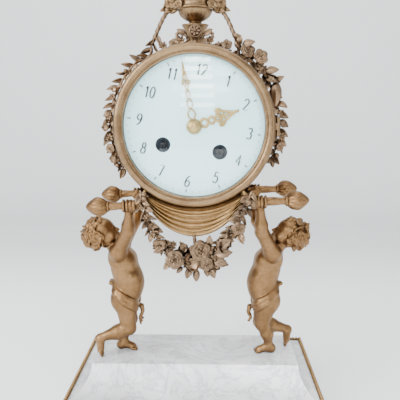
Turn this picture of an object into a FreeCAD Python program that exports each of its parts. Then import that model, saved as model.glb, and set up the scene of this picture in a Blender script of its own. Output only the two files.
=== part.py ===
import FreeCAD, Part
import math
import os
import Sketcher

# Mantel clock: a drum movement on a litter carried by two putti over a marble base.
# Origin: centre of the base, at the level of the feet. +Z up, the dial faces -Y. Millimetres.

V = FreeCAD.Vector
doc = FreeCAD.newDocument("mantel_clock")
sheet = doc.addObject("Spreadsheet::Sheet", "Sizes")
made = []


class Size:
    """A length that carries its number and the sheet expression it comes from."""

    def __init__(self, value, text):
        self.value = float(value)
        self.text = text

    def __add__(self, other):
        other = as_size(other)
        return Size(self.value + other.value, f"({self.text} + {other.text})")

    def __sub__(self, other):
        other = as_size(other)
        return Size(self.value - other.value, f"({self.text} - {other.text})")

    def __mul__(self, other):
        other = as_size(other)
        return Size(self.value * other.value, f"({self.text} * {other.text})")

    def __truediv__(self, other):
        other = as_size(other)
        return Size(self.value / other.value, f"({self.text} / {other.text})")

    def __radd__(self, other):
        return as_size(other) + self

    def __rsub__(self, other):
        return as_size(other) - self

    def __rmul__(self, other):
        return as_size(other) * self

    def __neg__(self):
        return Size(-self.value, f"(0 - {self.text})")

    def __float__(self):
        return self.value


def as_size(number):
    if isinstance(number, Size):
        return number
    return Size(number, f"({number:.6f})")


def size(alias, value):
    """Enter one driving dimension in the sheet."""
    row = size.row = getattr(size, "row", 0) + 1
    sheet.set(f"A{row}", alias)
    sheet.set(f"B{row}", str(value))
    sheet.setAlias(f"B{row}", alias)
    return Size(value, f"Sizes.{alias}")


# ---------------------------------------------------------------- driving dimensions
foot_radius = size("foot_radius", 9)
foot_height = size("foot_height", 12)
slab_half_width = size("slab_half_width", 89)
slab_half_depth = size("slab_half_depth", 56.5)
slab_height = size("slab_height", 18)
top_half_width = size("top_half_width", 73.5)
top_half_depth = size("top_half_depth", 26)
flare_height = size("flare_height", 16)
bead_width = size("bead_width", 2.8)
stud_radius = size("stud_radius", 1.8)

dial_height = size("dial_height", 214)
dial_turn = size("dial_turn", 7.3)
drum_radius = size("drum_radius", 49)
drum_half_depth = size("drum_half_depth", 30)
drum_wall = size("drum_wall", 1.4)
ring_bore = size("ring_bore", 46.9)
ring_radius = size("ring_radius", 51.2)
bezel_radius = size("bezel_radius", 53)
sight_radius = size("sight_radius", 46.3)
dial_radius = size("dial_radius", 46.6)
hinge_reach = size("hinge_reach", 54.6)
knuckle_radius = size("knuckle_radius", 1.4)
pin_radius = size("pin_radius", 0.6)

litter_tilt = size("litter_tilt", 2)
pole_radius = size("pole_radius", 2.7)
pole_spread = size("pole_spread", 27)
pole_half_length = size("pole_half_length", 61)
bud_radius = size("bud_radius", 6.3)
figure_spread = size("figure_spread", 52)
figure_forward = size("figure_forward", 3)

swag_depth = size("swag_depth", 27)
swag_half_width = size("swag_half_width", 36)
urn_radius = size("urn_radius", 14.5)
urn_foot = size("urn_foot", 19)

plate_thickness = size("plate_thickness", 1.5)
front_plate_back = size("front_plate_back", -19.5)
back_plate_back = size("back_plate_back", 5.5)
back_plate_radius = size("back_plate_radius", 40)
pivot_radius = size("pivot_radius", 0.8)
running_gap = size("running_gap", 0.05)
barrel_spread = size("barrel_spread", 19)
barrel_drop = size("barrel_drop", 14.6)
great_module = size("great_module", 0.6)
wheel_module = size("wheel_module", 0.5)
fine_module = size("fine_module", 0.45)
hour_hand_length = size("hour_hand_length", 31.6)
minute_hand_length = size("minute_hand_length", 41.6)
doc.recompute()

base_top = foot_height + slab_height + flare_height
deck = float(base_top)
axis_z = float(dial_height)
dial_origin = V(0, 0, axis_z)
turn = math.radians(float(dial_turn))
tilt = math.radians(float(litter_tilt))
cone_share = 0.95  # a limb's cone against the balls at its ends
blossom_reach = 62  # degrees of latitude that a flower keeps, each side of its middle


# ---------------------------------------------------------------- helpers
def register(feature, label):
    feature.Label = label
    made.append(feature)
    return feature


def new_body(label, place=None):
    body = doc.addObject("PartDesign::Body", label)
    if place is not None:
        body.Placement = place
    return register(body, label)


def on_plane(body, name, role):
    """A sketch on one of the body's own origin planes."""
    sketch = body.newObject("Sketcher::SketchObject", name)
    plane = next(item for item in body.Origin.OriginFeatures if item.Role == role)
    sketch.AttachmentSupport = (plane, [""])
    sketch.MapMode = "FlatFace"
    return sketch


def fix(sketch, kind, geometry, vertex, where):
    """Tie one sketch coordinate to its sheet expression."""
    where = as_size(where)
    index = sketch.addConstraint(Sketcher.Constraint(kind, -1, 1, geometry, vertex, where.value))
    if "Sizes" in where.text:
        sketch.setExpression(f"Constraints[{index}]", where.text)


def outline(sketch, corners):
    """Closed outline. A corner is (a, b), or (a, b, via_a, via_b) when an arc leads to it."""
    spots = [V(float(corner[0]), float(corner[1]), 0) for corner in corners]
    ends = []
    for number, corner in enumerate(corners):
        start = spots[number - 1]
        finish = spots[number]
        if len(corner) == 4:
            middle = V(float(corner[2]), float(corner[3]), 0)
            arc = Part.ArcOfCircle(start, middle, finish)
            forward = arc.Axis.z > 0
            if not forward:
                arc = Part.ArcOfCircle(finish, middle, start)
            index = sketch.addGeometry(arc, False)
            sketch.addConstraint(Sketcher.Constraint("Radius", index, arc.Radius))
            ends.append((index, 1, 2) if forward else (index, 2, 1))
        else:
            index = sketch.addGeometry(Part.LineSegment(start, finish), False)
            ends.append((index, 1, 2))
    for number, corner in enumerate(corners):
        index, _, last = ends[number]
        after, first, _ = ends[(number + 1) % len(ends)]
        sketch.addConstraint(Sketcher.Constraint("Coincident", index, last, after, first))
        fix(sketch, "DistanceX", index, last, corner[0])
        fix(sketch, "DistanceY", index, last, corner[1])


def round_hole(sketch, across, up, radius):
    radius = as_size(radius)
    circle = Part.Circle(V(float(across), float(up), 0), V(0, 0, 1), radius.value)
    index = sketch.addGeometry(circle, False)
    fix(sketch, "DistanceX", index, 3, across)
    fix(sketch, "DistanceY", index, 3, up)
    bound = sketch.addConstraint(Sketcher.Constraint("Radius", index, radius.value))
    if "Sizes" in radius.text:
        sketch.setExpression(f"Constraints[{bound}]", radius.text)


def turned(label, profile, axis, place=None):
    """A lathe-turned body. The profile is (along, radius) for Y and X, (radius, up) for Z."""
    body = new_body(label, place)
    role = "YZ_Plane" if axis == "Y" else "XZ_Plane"
    sketch = on_plane(body, label + "_profile", role)
    outline(sketch, profile)
    revolution = body.newObject("PartDesign::Revolution", label + "_turned")
    revolution.Profile = sketch
    revolution.ReferenceAxis = (sketch, ["V_Axis" if axis == "Z" else "H_Axis"])
    revolution.Angle = 360
    body.Tip = revolution
    return body


def plate(label, place, thickness, draw):
    """A flat plate whose back face is on the XZ plane of its placement."""
    body = new_body(label, place)
    sketch = on_plane(body, label + "_outline", "XZ_Plane")
    draw(sketch)
    pad = body.newObject("PartDesign::Pad", label + "_pad")
    pad.Profile = sketch
    pad.Length = float(thickness)
    if isinstance(thickness, Size):
        pad.setExpression("Length", thickness.text)
    body.Tip = pad
    return body


def drill(body, name, role, spots, radius):
    """Cut round holes through everything, both ways from one origin plane."""
    sketch = on_plane(body, name, role)
    for across, up in spots:
        round_hole(sketch, across, up, radius)
    pocket = body.newObject("PartDesign::Pocket", name + "_cut")
    pocket.Profile = sketch
    pocket.Type = "ThroughAll"
    pocket.Midplane = True
    body.Tip = pocket
    return body


def shaped(label, shape, place=None):
    """A part whose form neither a sketch nor a primitive describes."""
    feature = doc.addObject("Part::Feature", label)
    feature.Shape = shape.removeSplitter() if len(shape.Solids) == 1 else shape
    if place is not None:
        feature.Placement = place
    return register(feature, label)


def at(x=0.0, y=0.0, z=0.0, turn_degrees=0.0, about=V(0, 1, 0)):
    return FreeCAD.Placement(V(x, y, z), FreeCAD.Rotation(about, turn_degrees))


def in_dial(x, z):
    """Where a point of the turned dial and movement lies in the object's frame."""
    across = x * math.cos(turn) + z * math.sin(turn)
    up = z * math.cos(turn) - x * math.sin(turn)
    return V(across, 0, axis_z + up)


def works(x=0.0, z=0.0, y=0.0):
    """Placement of a movement part: turned with the dial."""
    spot = in_dial(x, z)
    return at(spot.x, y, spot.z, float(dial_turn))


def rod(radius, start, finish):
    along = finish - start
    return Part.makeCylinder(float(radius), along.Length, start, along)


def rod_y(radius, y_start, y_finish, x=0.0, z=0.0):
    return rod(radius, V(x, float(y_start), z), V(x, float(y_finish), z))


def block(x0, x1, y0, y1, z0, z1):
    return Part.makeBox(x1 - x0, y1 - y0, z1 - z0, V(x0, y0, z0))


def joined(shapes):
    return shapes[0].multiFuse(shapes[1:])


def limb(start, start_radius, finish, finish_radius):
    """A rounded, tapering limb: a ball at each joint, and a cone that starts just inside both."""
    ends = [Part.makeSphere(start_radius, start), Part.makeSphere(finish_radius, finish)]
    along = finish - start
    start_radius, finish_radius = start_radius * cone_share, finish_radius * cone_share
    if abs(start_radius - finish_radius) < 0.01:
        middle = Part.makeCylinder(start_radius, along.Length, start, along)
    else:
        middle = Part.makeCone(start_radius, finish_radius, along.Length, start, along)
    return ends + [middle]


# ---------------------------------------------------------------- base
def flare_section(body, name, turn_fraction):
    """One level of the hollow flare, a quarter ellipse that ends level at the slab."""
    angle = turn_fraction * math.pi / 2
    spread = 1 - math.cos(angle)
    half_width = top_half_width + (slab_half_width - bead_width * 1.25 - top_half_width) * spread
    half_depth = top_half_depth + (slab_half_depth - bead_width * 1.25 - top_half_depth) * spread
    level = base_top - flare_height * math.sin(angle)
    sketch = on_plane(body, name, "XY_Plane")
    sketch.AttachmentOffset = FreeCAD.Placement(V(0, 0, level.value), FreeCAD.Rotation())
    sketch.setExpression("AttachmentOffset.Base.z", level.text)
    outline(sketch, [(-half_width, -half_depth), (half_width, -half_depth),
                     (half_width, half_depth), (-half_width, half_depth)])
    return sketch


def marble_base():
    body = new_body("marble_base")
    slab = on_plane(body, "slab_outline", "XY_Plane")
    slab.AttachmentOffset = FreeCAD.Placement(V(0, 0, float(foot_height)), FreeCAD.Rotation())
    slab.setExpression("AttachmentOffset.Base.z", foot_height.text)
    outline(slab, [(-slab_half_width, -slab_half_depth), (slab_half_width, -slab_half_depth),
                   (slab_half_width, slab_half_depth), (-slab_half_width, slab_half_depth)])
    pad = body.newObject("PartDesign::Pad", "slab")
    pad.Profile = slab
    pad.setExpression("Length", slab_height.text)
    steps = 6
    sections = [flare_section(body, f"flare_{step}", 1 - step / steps) for step in range(steps + 1)]
    loft = body.newObject("PartDesign::AdditiveLoft", "flare")
    loft.Profile = sections[0]
    loft.Sections = sections[1:]
    body.Tip = loft
    stud_spots = [(side * (figure_spread + 1), -figure_forward - side * 2) for side in (-1, 1)]
    return drill(body, "stud_holes", "XY_Plane", stud_spots, stud_radius + 0.2)


def bead_border():
    body = new_body("base_bead_border")
    sketch = on_plane(body, "bead_outline", "XY_Plane")
    ledge = foot_height + slab_height
    sketch.AttachmentOffset = FreeCAD.Placement(V(0, 0, float(ledge)), FreeCAD.Rotation())
    sketch.setExpression("AttachmentOffset.Base.z", ledge.text)
    for inset in (bead_width * 0.2, bead_width * 1.2):
        wide = slab_half_width - inset
        deep = slab_half_depth - inset
        outline(sketch, [(-wide, -deep), (wide, -deep), (wide, deep), (-wide, deep)])
    pad = body.newObject("PartDesign::Pad", "bead_strip")
    pad.Profile = sketch
    pad.setExpression("Length", (bead_width * 0.9).text)
    body.Tip = pad


def bun_feet():
    """Four turned feet, drawn once and repeated at the corners."""
    r = float(foot_radius)
    h = float(foot_height)
    points = [V(0, 0, 0), V(0.55 * r, 0, 0)]
    belly = Part.Arc(V(0.55 * r, 0, 0), V(r, 0, 0.36 * h), V(0.62 * r, 0, 0.7 * h)).toShape()
    waist = Part.Arc(V(0.62 * r, 0, 0.7 * h), V(0.52 * r, 0, 0.82 * h), V(0.8 * r, 0, h)).toShape()
    edges = [Part.makeLine(points[0], points[1]), belly, waist,
             Part.makeLine(V(0.8 * r, 0, h), V(0, 0, h)), Part.makeLine(V(0, 0, h), points[0])]
    foot = Part.Face(Part.Wire(edges)).revolve(V(0, 0, 0), V(0, 0, 1), 360)
    feet = []
    for side in (-1, 1):
        for depth in (-1, 1):
            copy = foot.copy()
            copy.translate(V(side * (float(slab_half_width) - 1.6 * r),
                             depth * (float(slab_half_depth) - 1.6 * r), 0))
            feet.append(copy)
    shaped("bun_feet", Part.makeCompound(feet))


def base_nuts():
    """Hexagonal nuts under the slab that hold the figures' studs."""
    nuts = []
    for side in (-1, 1):
        centre = V(side * (float(figure_spread) + 1), -float(figure_forward) - side * 2,
                   float(foot_height) - 3)
        corners = [centre + V(4 * math.cos(math.radians(60 * k)), 4 * math.sin(math.radians(60 * k)), 0)
                   for k in range(7)]
        block_hex = Part.Face(Part.makePolygon(corners)).extrude(V(0, 0, 3))
        nuts.append(block_hex.cut(Part.makeCylinder(float(stud_radius), 3, centre)))
    shaped("base_nuts", Part.makeCompound(nuts))


# ---------------------------------------------------------------- figures and litter
def pole_level(x):
    """Height of the tilted litter's pole centre line over the object's x."""
    drop = float(drum_radius) + float(pole_radius)
    return axis_z + (x * math.sin(tilt) - drop) / math.cos(tilt)


def putto(label, side):
    """One child figure, facing the clock, modelled facing +x and turned to its side."""
    facing = -side
    centre = V(side * float(figure_spread), -float(figure_forward), deck)
    hand_x = 8.0
    hand_level = pole_level(side * (float(figure_spread) - hand_x)) - deck
    near = float(pole_spread) - float(figure_forward)
    far = float(pole_spread) + float(figure_forward)
    reach = {1: far, -1: near} if facing == 1 else {1: near, -1: far}
    parts = []
    parts += limb(V(0.5, 4.5, 42), 9.8, V(0.5, -4.5, 42), 9.8)
    parts += limb(V(1.2, 0, 44), 11.4, V(1.6, 0, 54), 12.2)
    parts += limb(V(1.6, 0, 54), 12.2, V(-1.2, 0, 69), 11.6)
    parts += limb(V(-3, 9, 77), 6.2, V(-3, -9, 77), 6.2)
    parts += limb(V(-7, 0, 79), 6.0, V(-14, 0, 85), 6.0)
    parts.append(Part.makeSphere(13.2, V(-16.8, 0, 89.6)))
    for hand in (1, -1):
        shoulder = V(-3, hand * 10, 78)
        elbow = V(5.5, hand * (reach[hand] * 0.45 + 8.5), 96)
        grip = V(hand_x, hand * reach[hand], hand_level)
        parts += limb(shoulder, 5.2, elbow, 4.2)
        parts += limb(elbow, 4.2, grip, 3.4)
        parts.append(Part.makeSphere(5.0, grip))
    hip = V(0.5, 5, 40)
    parts += limb(hip, 8.6, V(3, 3.5, 23), 5.8)
    parts += limb(V(3, 3.5, 23), 5.6, V(-2.5, 2, 6.5), 3.9)
    parts += limb(V(-4, 2, 2.4), 3.4, V(7.2, 1.6, 1.6), 2.4)
    parts += limb(V(0.5, -5, 40), 8.6, V(2.8, -7.5, 20.5), 6.0)
    parts += limb(V(2.8, -7.5, 20.5), 5.6, V(-17, -9.5, 13.5), 3.6)
    parts += limb(V(-17.2, -9.6, 12.5), 3.6, V(-18.6, -11, 1.6), 2.2)
    parts.append(Part.makeSphere(4.2, V(9.5, -4.5, 32)))
    figure = joined(parts)
    figure = figure.cut(Part.makeBox(80, 80, 20, V(-50, -40, -20)))
    stud_end = float(foot_height) - 3 - deck
    stud = Part.makeCylinder(float(stud_radius), 1 - stud_end, V(-1, 2, stud_end))
    figure = figure.fuse(stud)
    placed = at(centre.x, centre.y, centre.z, 0 if facing == 1 else 180, V(0, 0, 1))
    figure.Placement = placed
    for depth in (-1, 1):
        pole = pole_shape(depth)
        figure = figure.cut(pole)
    shaped(label, figure)


def pole_shape(depth):
    y = depth * float(pole_spread)
    half = float(pole_half_length)
    drop = float(drum_radius) + float(pole_radius)
    pole = rod(pole_radius, V(-half, y, -drop), V(half, y, -drop))
    pole.Placement = at(0, 0, axis_z, -float(litter_tilt)).multiply(pole.Placement)
    return pole


def litter_pole(label, depth):
    body = new_body(label)
    drop = drum_radius + pole_radius
    sketch = on_plane(body, label + "_profile", "XZ_Plane")
    outline(sketch, [(-pole_half_length, -drop), (pole_half_length, -drop),
                     (pole_half_length, -drop + pole_radius), (-pole_half_length, -drop + pole_radius)])
    turned_pole = body.newObject("PartDesign::Revolution", label + "_turned")
    turned_pole.Profile = sketch
    axis = sketch.addGeometry(Part.LineSegment(V(-5, -float(drop), 0), V(5, -float(drop), 0)), True)
    fix(sketch, "DistanceY", axis, 1, -drop)
    fix(sketch, "DistanceY", axis, 2, -drop)
    fix(sketch, "DistanceX", axis, 1, -5)
    fix(sketch, "DistanceX", axis, 2, 5)
    turned_pole.ReferenceAxis = (sketch, ["Axis0"])
    turned_pole.Angle = 360
    body.Tip = turned_pole
    body.Placement = at(0, depth * float(pole_spread), axis_z, -float(litter_tilt))


def pole_buds(label, depth):
    """The closed flower buds that finish both ends of one pole."""
    r = float(bud_radius)
    drop = float(drum_radius) + float(pole_radius)
    start = float(pole_half_length)
    seat, collar = V(0, 0, 0), V(0, 0, 0.55 * r)
    tip_edge, tip = V(2.3 * r, 0, 0.06 * r), V(2.3 * r, 0, 0)
    petals = Part.BSplineCurve()
    petals.interpolate([collar, V(0.85 * r, 0, r), V(1.75 * r, 0, 0.5 * r), tip_edge])
    edges = [Part.makeLine(seat, collar), petals.toShape(), Part.makeLine(tip_edge, tip),
             Part.makeLine(tip, seat)]
    bud = Part.Face(Part.Wire(edges)).revolve(V(0, 0, 0), V(1, 0, 0), 360)
    buds = []
    for side in (-1, 1):
        copy = bud.copy()
        if side < 0:
            copy.rotate(V(0, 0, 0), V(0, 0, 1), 180)
        copy.translate(V(side * start, depth * float(pole_spread), -drop))
        buds.append(copy)
    shaped(label, Part.makeCompound(buds), at(0, 0, axis_z, -float(litter_tilt)))


def swag_outline(half_width, lowest, corner, shoulder):
    """The cloth's hanging outline: two corners and a deep catenary-like sweep between."""
    left = V(-half_width, 0, -corner)
    right = V(half_width, 0, -corner)
    curve = Part.BSplineCurve()
    curve.interpolate([left, V(-half_width * 0.78, 0, -shoulder), V(-half_width * 0.4, 0, -lowest + 3.2),
                       V(0, 0, -lowest), V(half_width * 0.4, 0, -lowest + 3.2),
                       V(half_width * 0.78, 0, -shoulder), right])
    return Part.Wire([curve.toShape(), Part.makeLine(right, V(half_width, 0, -30)),
                      Part.makeLine(V(half_width, 0, -30), V(-half_width, 0, -30)),
                      Part.makeLine(V(-half_width, 0, -30), left)])


def drapery_cradle():
    """Cast cloth slung under the drum, open below it, with the poles running through."""
    drop = float(drum_radius)
    lowest = drop + float(swag_depth) - 1.5
    half = float(swag_half_width)
    deep = float(drum_half_depth) + 4.2
    outer = Part.Face(swag_outline(half, lowest, 41, 60)).extrude(V(0, 2 * deep, 0))
    outer.translate(V(0, -deep, 0))
    inner = Part.Face(swag_outline(half - 3, lowest - 3, 38, 57)).extrude(V(0, 2 * deep - 14, 0))
    inner.translate(V(0, -deep + 7, 0))
    cloth = outer.cut(inner)
    cloth = cloth.cut(rod_y(drum_radius, -deep - 5, deep + 5))
    door_room = float(bezel_radius) + 2.5
    cloth = cloth.cut(rod_y(door_room, -deep - 5, -float(drum_half_depth)))
    cloth = cloth.cut(rod_y(door_room, float(drum_half_depth), deep + 5))
    cloth = cloth.cut(rod(2, V(0, 0, -90), V(0, 0, -30)))
    cloth.Placement = at(0, 0, axis_z)
    for depth in (-1, 1):
        cloth = cloth.cut(pole_shape(depth))
    return cloth


def blossom(spot, radius):
    """A flower as a ball with its front and back cut flat, facing along Y."""
    return Part.makeSphere(radius, spot, V(0, 1, 0), -blossom_reach, blossom_reach, 360)


def blossom_chain(spots):
    """Cast flowers on a vine: one blossom per flower, a thinner vine between neighbours."""
    shapes = []
    for number, (spot, radius) in enumerate(spots):
        shapes.append(blossom(spot, radius))
        if number:
            before = spots[number - 1][0]
            shapes.append(rod(1.6, before, spot))
    return joined(shapes)


def garland_lower():
    """The flower swag below the cloth: two strands that meet in a basket of blossom."""
    y = -float(drum_half_depth) - 3.2
    left = [(V(-37, y, -42), 3.0), (V(-34, y, -53), 3.2), (V(-30, y, -64), 3.4), (V(-27, y, -74), 4.4),
            (V(-21, y, -82), 4.6), (V(-12, y, -89), 6.4), (V(-3, y, -86), 5.0), (V(4, y, -88), 7.6)]
    right = [(V(4, y, -88), 7.6), (V(13, y, -84), 5.4), (V(21, y, -79), 6.0), (V(28, y, -68), 5.6),
             (V(34, y, -57), 3.6), (V(38, y, -42), 3.0)]
    drops = [[(V(-2, y, -90), 2.2), (V(-5, y, -102), 2.4)], [(V(3, y, -91.5), 4.3), (V(1.5, y, -103), 2.6)],
             [(V(9, y, -90), 2.8), (V(8.7, y, -100), 2.5)]]
    swag = blossom_chain(left).fuse(blossom_chain(right))
    for drop in drops:
        swag = swag.fuse(blossom_chain(drop))
    swag.Placement = at(0, 0, axis_z)
    return swag


def polar(radius, degrees, y):
    """A spot around the drum, measured clockwise from the top as seen from the front."""
    angle = math.radians(degrees)
    return V(radius * math.sin(angle), y, radius * math.cos(angle))


def garland_side(label, side, blooms):
    """A garland from the urn's handle, over the shoulder and down the drum's flank."""
    stem = [(V(side * 17.5, -3, 78), 2.2), (V(side * 25, -6, 66), 2.4), (V(side * 30, -8, 52.5), 3.0)]
    flank = [(polar(r, side * degrees, y), radius) for degrees, r, y, radius in blooms]
    chain = blossom_chain(stem).fuse(blossom_chain([stem[-1]] + flank))
    chain = chain.cut(rod_y(drum_radius, -60, 60))
    shaped(label, chain, at(0, 0, axis_z))


def top_garland(pedestal):
    spots = [(polar(53.5, degrees, -12), radius) for degrees, radius in
             ((-23, 3.6), (-17.5, 4.2), (-12, 4.8), (-6, 3.6), (0, 3.4), (6, 3.6), (12, 4.8), (18, 4.2), (25, 3.4))]
    chain = blossom_chain(spots)
    rosette = rod_y(4.0, -16, -8, 0.5, 62.5)
    chain = chain.fuse(rosette)
    chain = chain.fuse(rod(2.2, V(0.5, -10, 54), V(0.5, -10, 63)))
    chain = chain.cut(rod_y(drum_radius, -60, 60))
    chain.Placement = at(0, 0, axis_z)
    shaped("top_garland", chain.cut(pedestal))


# ---------------------------------------------------------------- urn
def urn_pedestal():
    """Turned socle whose underside is saddled to the drum."""
    top = float(drum_radius) + float(urn_foot)
    low = float(drum_radius) - 4
    edges = [Part.makeLine(V(0, 0, low), V(9.5, 0, low)), Part.makeLine(V(9.5, 0, low), V(9.5, 0, 52.5)),
             Part.Arc(V(9.5, 0, 52.5), V(5.2, 0, 56), V(4.0, 0, 63)).toShape(),
             Part.makeLine(V(4.0, 0, 63), V(5.0, 0, 65)), Part.makeLine(V(5.0, 0, 65), V(5.0, 0, top)),
             Part.makeLine(V(5.0, 0, top), V(0, 0, top)), Part.makeLine(V(0, 0, top), V(0, 0, low))]
    solid = Part.Face(Part.Wire(edges)).revolve(V(0, 0, 0), V(0, 0, 1), 360)
    solid = solid.cut(rod_y(drum_radius, -60, 60)).cut(rod(2, V(0, 0, 40), V(0, 0, 80)))
    solid.Placement = at(0, 0, axis_z)
    return shaped("urn_pedestal", solid).Shape


def urn_handle(body, side, foot):
    """One scroll handle piped along a curve from the neck to the shoulder."""
    name = "left" if side < 0 else "right"
    spine = on_plane(body, f"{name}_handle_spine", "XZ_Plane")
    upper = V(side * 9.5, float(foot) + 25, 0)
    outermost = V(side * 19.5, float(foot) + 20.5, 0)
    lower = V(side * 13.0, float(foot) + 13, 0)
    arc = Part.ArcOfCircle(upper, outermost, lower)
    if arc.Axis.z < 0:
        arc = Part.ArcOfCircle(lower, outermost, upper)
    spine.addGeometry(arc, False)
    start = V(arc.StartPoint.x, 0, arc.StartPoint.y)
    heading = V(arc.Center.y - arc.StartPoint.y, 0, arc.StartPoint.x - arc.Center.x)
    profile = body.newObject("Sketcher::SketchObject", f"{name}_handle_section")
    profile.Placement = FreeCAD.Placement(start, FreeCAD.Rotation(V(0, 0, 1), heading))
    profile.addGeometry(Part.Circle(V(0, 0, 0), V(0, 0, 1), 1.5), False)
    pipe = body.newObject("PartDesign::AdditivePipe", f"{name}_handle")
    pipe.Profile = profile
    pipe.Spine = (spine, ["Edge1"])
    body.Tip = pipe


def urn():
    """Turned vase with two scroll handles that carry the side garlands."""
    foot = drum_radius + urn_foot
    r = urn_radius
    body = turned("urn", [
        (2, foot), (4.4, foot), (4.4, foot + 1.5), (6.2, foot + 3),
        (r * 0.86, foot + 10, r * 0.66, foot + 5.2), (r, foot + 17, r * 0.98, foot + 13.5),
        (r * 0.98, foot + 20), (r * 0.72, foot + 23, r * 0.78, foot + 20.8),
        (r * 0.72, foot + 27), (r * 0.88, foot + 29, r * 0.76, foot + 28.6), (r * 0.88, foot + 30),
        (r * 0.6, foot + 30), (r * 0.6, foot + 22), (r * 0.55, foot + 12), (2, foot + 9)],
        "Z", at(0, 0, axis_z))
    for side in (-1, 1):
        urn_handle(body, side, foot)


def urn_bouquet():
    """A dome of flowers standing in the urn's neck."""
    foot = float(drum_radius) + float(urn_foot)
    rim = foot + 30
    shapes = [Part.makeCylinder(7.6, 12, V(0, 0, rim - 10)), Part.makeSphere(11, V(0, 0, rim + 8.5))]
    for k in range(6):
        angle = math.radians(60 * k)
        shapes.append(Part.makeSphere(5.4, V(9.5 * math.cos(angle), 9.5 * math.sin(angle), rim + 6.2)))
        upper = angle + math.pi / 6
        shapes.append(Part.makeSphere(5.0, V(6.5 * math.cos(upper), 6.5 * math.sin(upper), rim + 14)))
    shapes.append(Part.makeSphere(5.4, V(0, 0, rim + 19)))
    dome = joined(shapes).cut(Part.makeCylinder(20, 0.4, V(0, 0, rim - 0.4)).cut(
        Part.makeCylinder(7.6, 0.4, V(0, 0, rim - 0.4))))
    dome = dome.cut(Part.makeCylinder(2, 20, V(0, 0, rim - 12)))
    shaped("urn_bouquet", dome, at(0, 0, axis_z))


def urn_rod():
    """Threaded rod and nut that clamp the urn to the drum."""
    inner = float(drum_radius) - float(drum_wall)
    foot = float(drum_radius) + float(urn_foot)
    bar = rod(2, V(0, 0, inner - 4), V(0, 0, foot + 26))
    corners = [V(4.2 * math.cos(math.radians(60 * k)), 4.2 * math.sin(math.radians(60 * k)), inner - 3.6)
               for k in range(7)]
    nut = Part.Face(Part.makePolygon(corners)).extrude(V(0, 0, 3.4))
    shaped("urn_rod", bar.fuse(nut), at(0, 0, axis_z))


# ---------------------------------------------------------------- drum, rings and doors
def drum_case():
    body = turned("drum_case", [
        (-drum_half_depth, drum_radius - drum_wall), (-drum_half_depth, drum_radius),
        (drum_half_depth, drum_radius), (drum_half_depth, drum_radius - drum_wall)], "Y", at(0, 0, axis_z))
    return drill(body, "bolt_holes", "XY_Plane", [(0, 0)], 2)


def case_bolt():
    """Bolt with a rosette head that holds the drum down through the cradle."""
    low = float(drum_radius) + float(swag_depth) - 1.5
    inner = float(drum_radius) - float(drum_wall)
    shank = rod(2, V(0, 0, -low), V(0, 0, -inner + 3.2))
    head = Part.makeCone(2.2, 4.2, 2.4, V(0, 0, -low - 2.4))
    nut = Part.makeCylinder(3.8, 2.6, V(0, 0, -inner + 0.4))
    shaped("case_bolt", shank.fuse(head).fuse(nut), at(0, 0, axis_z))


def door_ring(label, end):
    """Fixed ring in one end of the drum, with the two outer knuckles of its door hinge."""
    face = drum_half_depth * end
    lip = (drum_half_depth + 1.2) * end
    tail = (drum_half_depth - (11 if end < 0 else 5)) * end
    bore = drum_radius - drum_wall
    body = turned(label, [(lip, ring_bore), (lip, ring_radius), (face, ring_radius), (face, bore),
                          (tail, bore), (tail, ring_bore)], "Y", at(0, 0, axis_z))
    for name, low in (("upper", 2.1), ("lower", -6.1)):
        knuckle = on_plane(body, f"{label}_{name}_knuckle", "XY_Plane")
        knuckle.AttachmentOffset = FreeCAD.Placement(V(0, 0, low), FreeCAD.Rotation())
        hinge_y = (drum_half_depth + 0.8) * end
        near = (drum_half_depth + 0.1) * end
        outline(knuckle, [(ring_radius - 2, near), (hinge_reach, near), (hinge_reach, lip),
                          (ring_radius - 2, lip)])
        pad = body.newObject("PartDesign::Pad", f"{label}_{name}_leaf")
        pad.Profile = knuckle
        pad.Length = 4
        barrel = on_plane(body, f"{label}_{name}_barrel", "XY_Plane")
        barrel.AttachmentOffset = FreeCAD.Placement(V(0, 0, low), FreeCAD.Rotation())
        round_hole(barrel, hinge_reach, hinge_y, knuckle_radius)
        pad = body.newObject("PartDesign::Pad", f"{label}_{name}_roll")
        pad.Profile = barrel
        pad.Length = 4
        body.Tip = pad
    return drill(body, f"{label}_pin_hole", "XY_Plane", [(hinge_reach, (drum_half_depth + 0.8) * end)],
                 pin_radius)


def hinge_pins():
    """One headed pin through the knuckles of each door."""
    pins = []
    for end in (-1, 1):
        pin = rod(pin_radius, V(0, 0, -6.1), V(0, 0, 6.1))
        for side in (-1, 1):
            head = Part.makeSphere(float(pin_radius) * 1.7, V(0, 0, side * 6.9))
            beyond = (6.1, 9) if side > 0 else (-9, -6.1)
            pin = pin.fuse(head.common(block(-3, 3, -3, 3, *beyond)))
        pin.translate(V(float(hinge_reach), (float(drum_half_depth) + 0.8) * end, 0))
        pins.append(pin)
    shaped("hinge_pins", Part.makeCompound(pins), at(0, 0, axis_z))


def door_knuckle(body, label, end, leaf_from, leaf_to):
    """The door's own middle knuckle, running on the pin."""
    hinge_y = (drum_half_depth + 0.8) * end
    leaf = on_plane(body, f"{label}_leaf_outline", "XY_Plane")
    leaf.AttachmentOffset = FreeCAD.Placement(V(0, 0, -1.9), FreeCAD.Rotation())
    outline(leaf, [(bezel_radius - 1.5, leaf_from), (hinge_reach + 0.6, leaf_from),
                   (hinge_reach + 0.6, leaf_to), (bezel_radius - 1.5, leaf_to)])
    pad = body.newObject("PartDesign::Pad", f"{label}_leaf")
    pad.Profile = leaf
    pad.Length = 3.8
    roll = on_plane(body, f"{label}_roll_outline", "XY_Plane")
    roll.AttachmentOffset = FreeCAD.Placement(V(0, 0, -1.9), FreeCAD.Rotation())
    round_hole(roll, hinge_reach, hinge_y, knuckle_radius)
    pad = body.newObject("PartDesign::Pad", f"{label}_roll")
    pad.Profile = roll
    pad.Length = 3.8
    body.Tip = pad
    return drill(body, f"{label}_pin_hole", "XY_Plane", [(hinge_reach, hinge_y)], pin_radius + running_gap)


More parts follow.
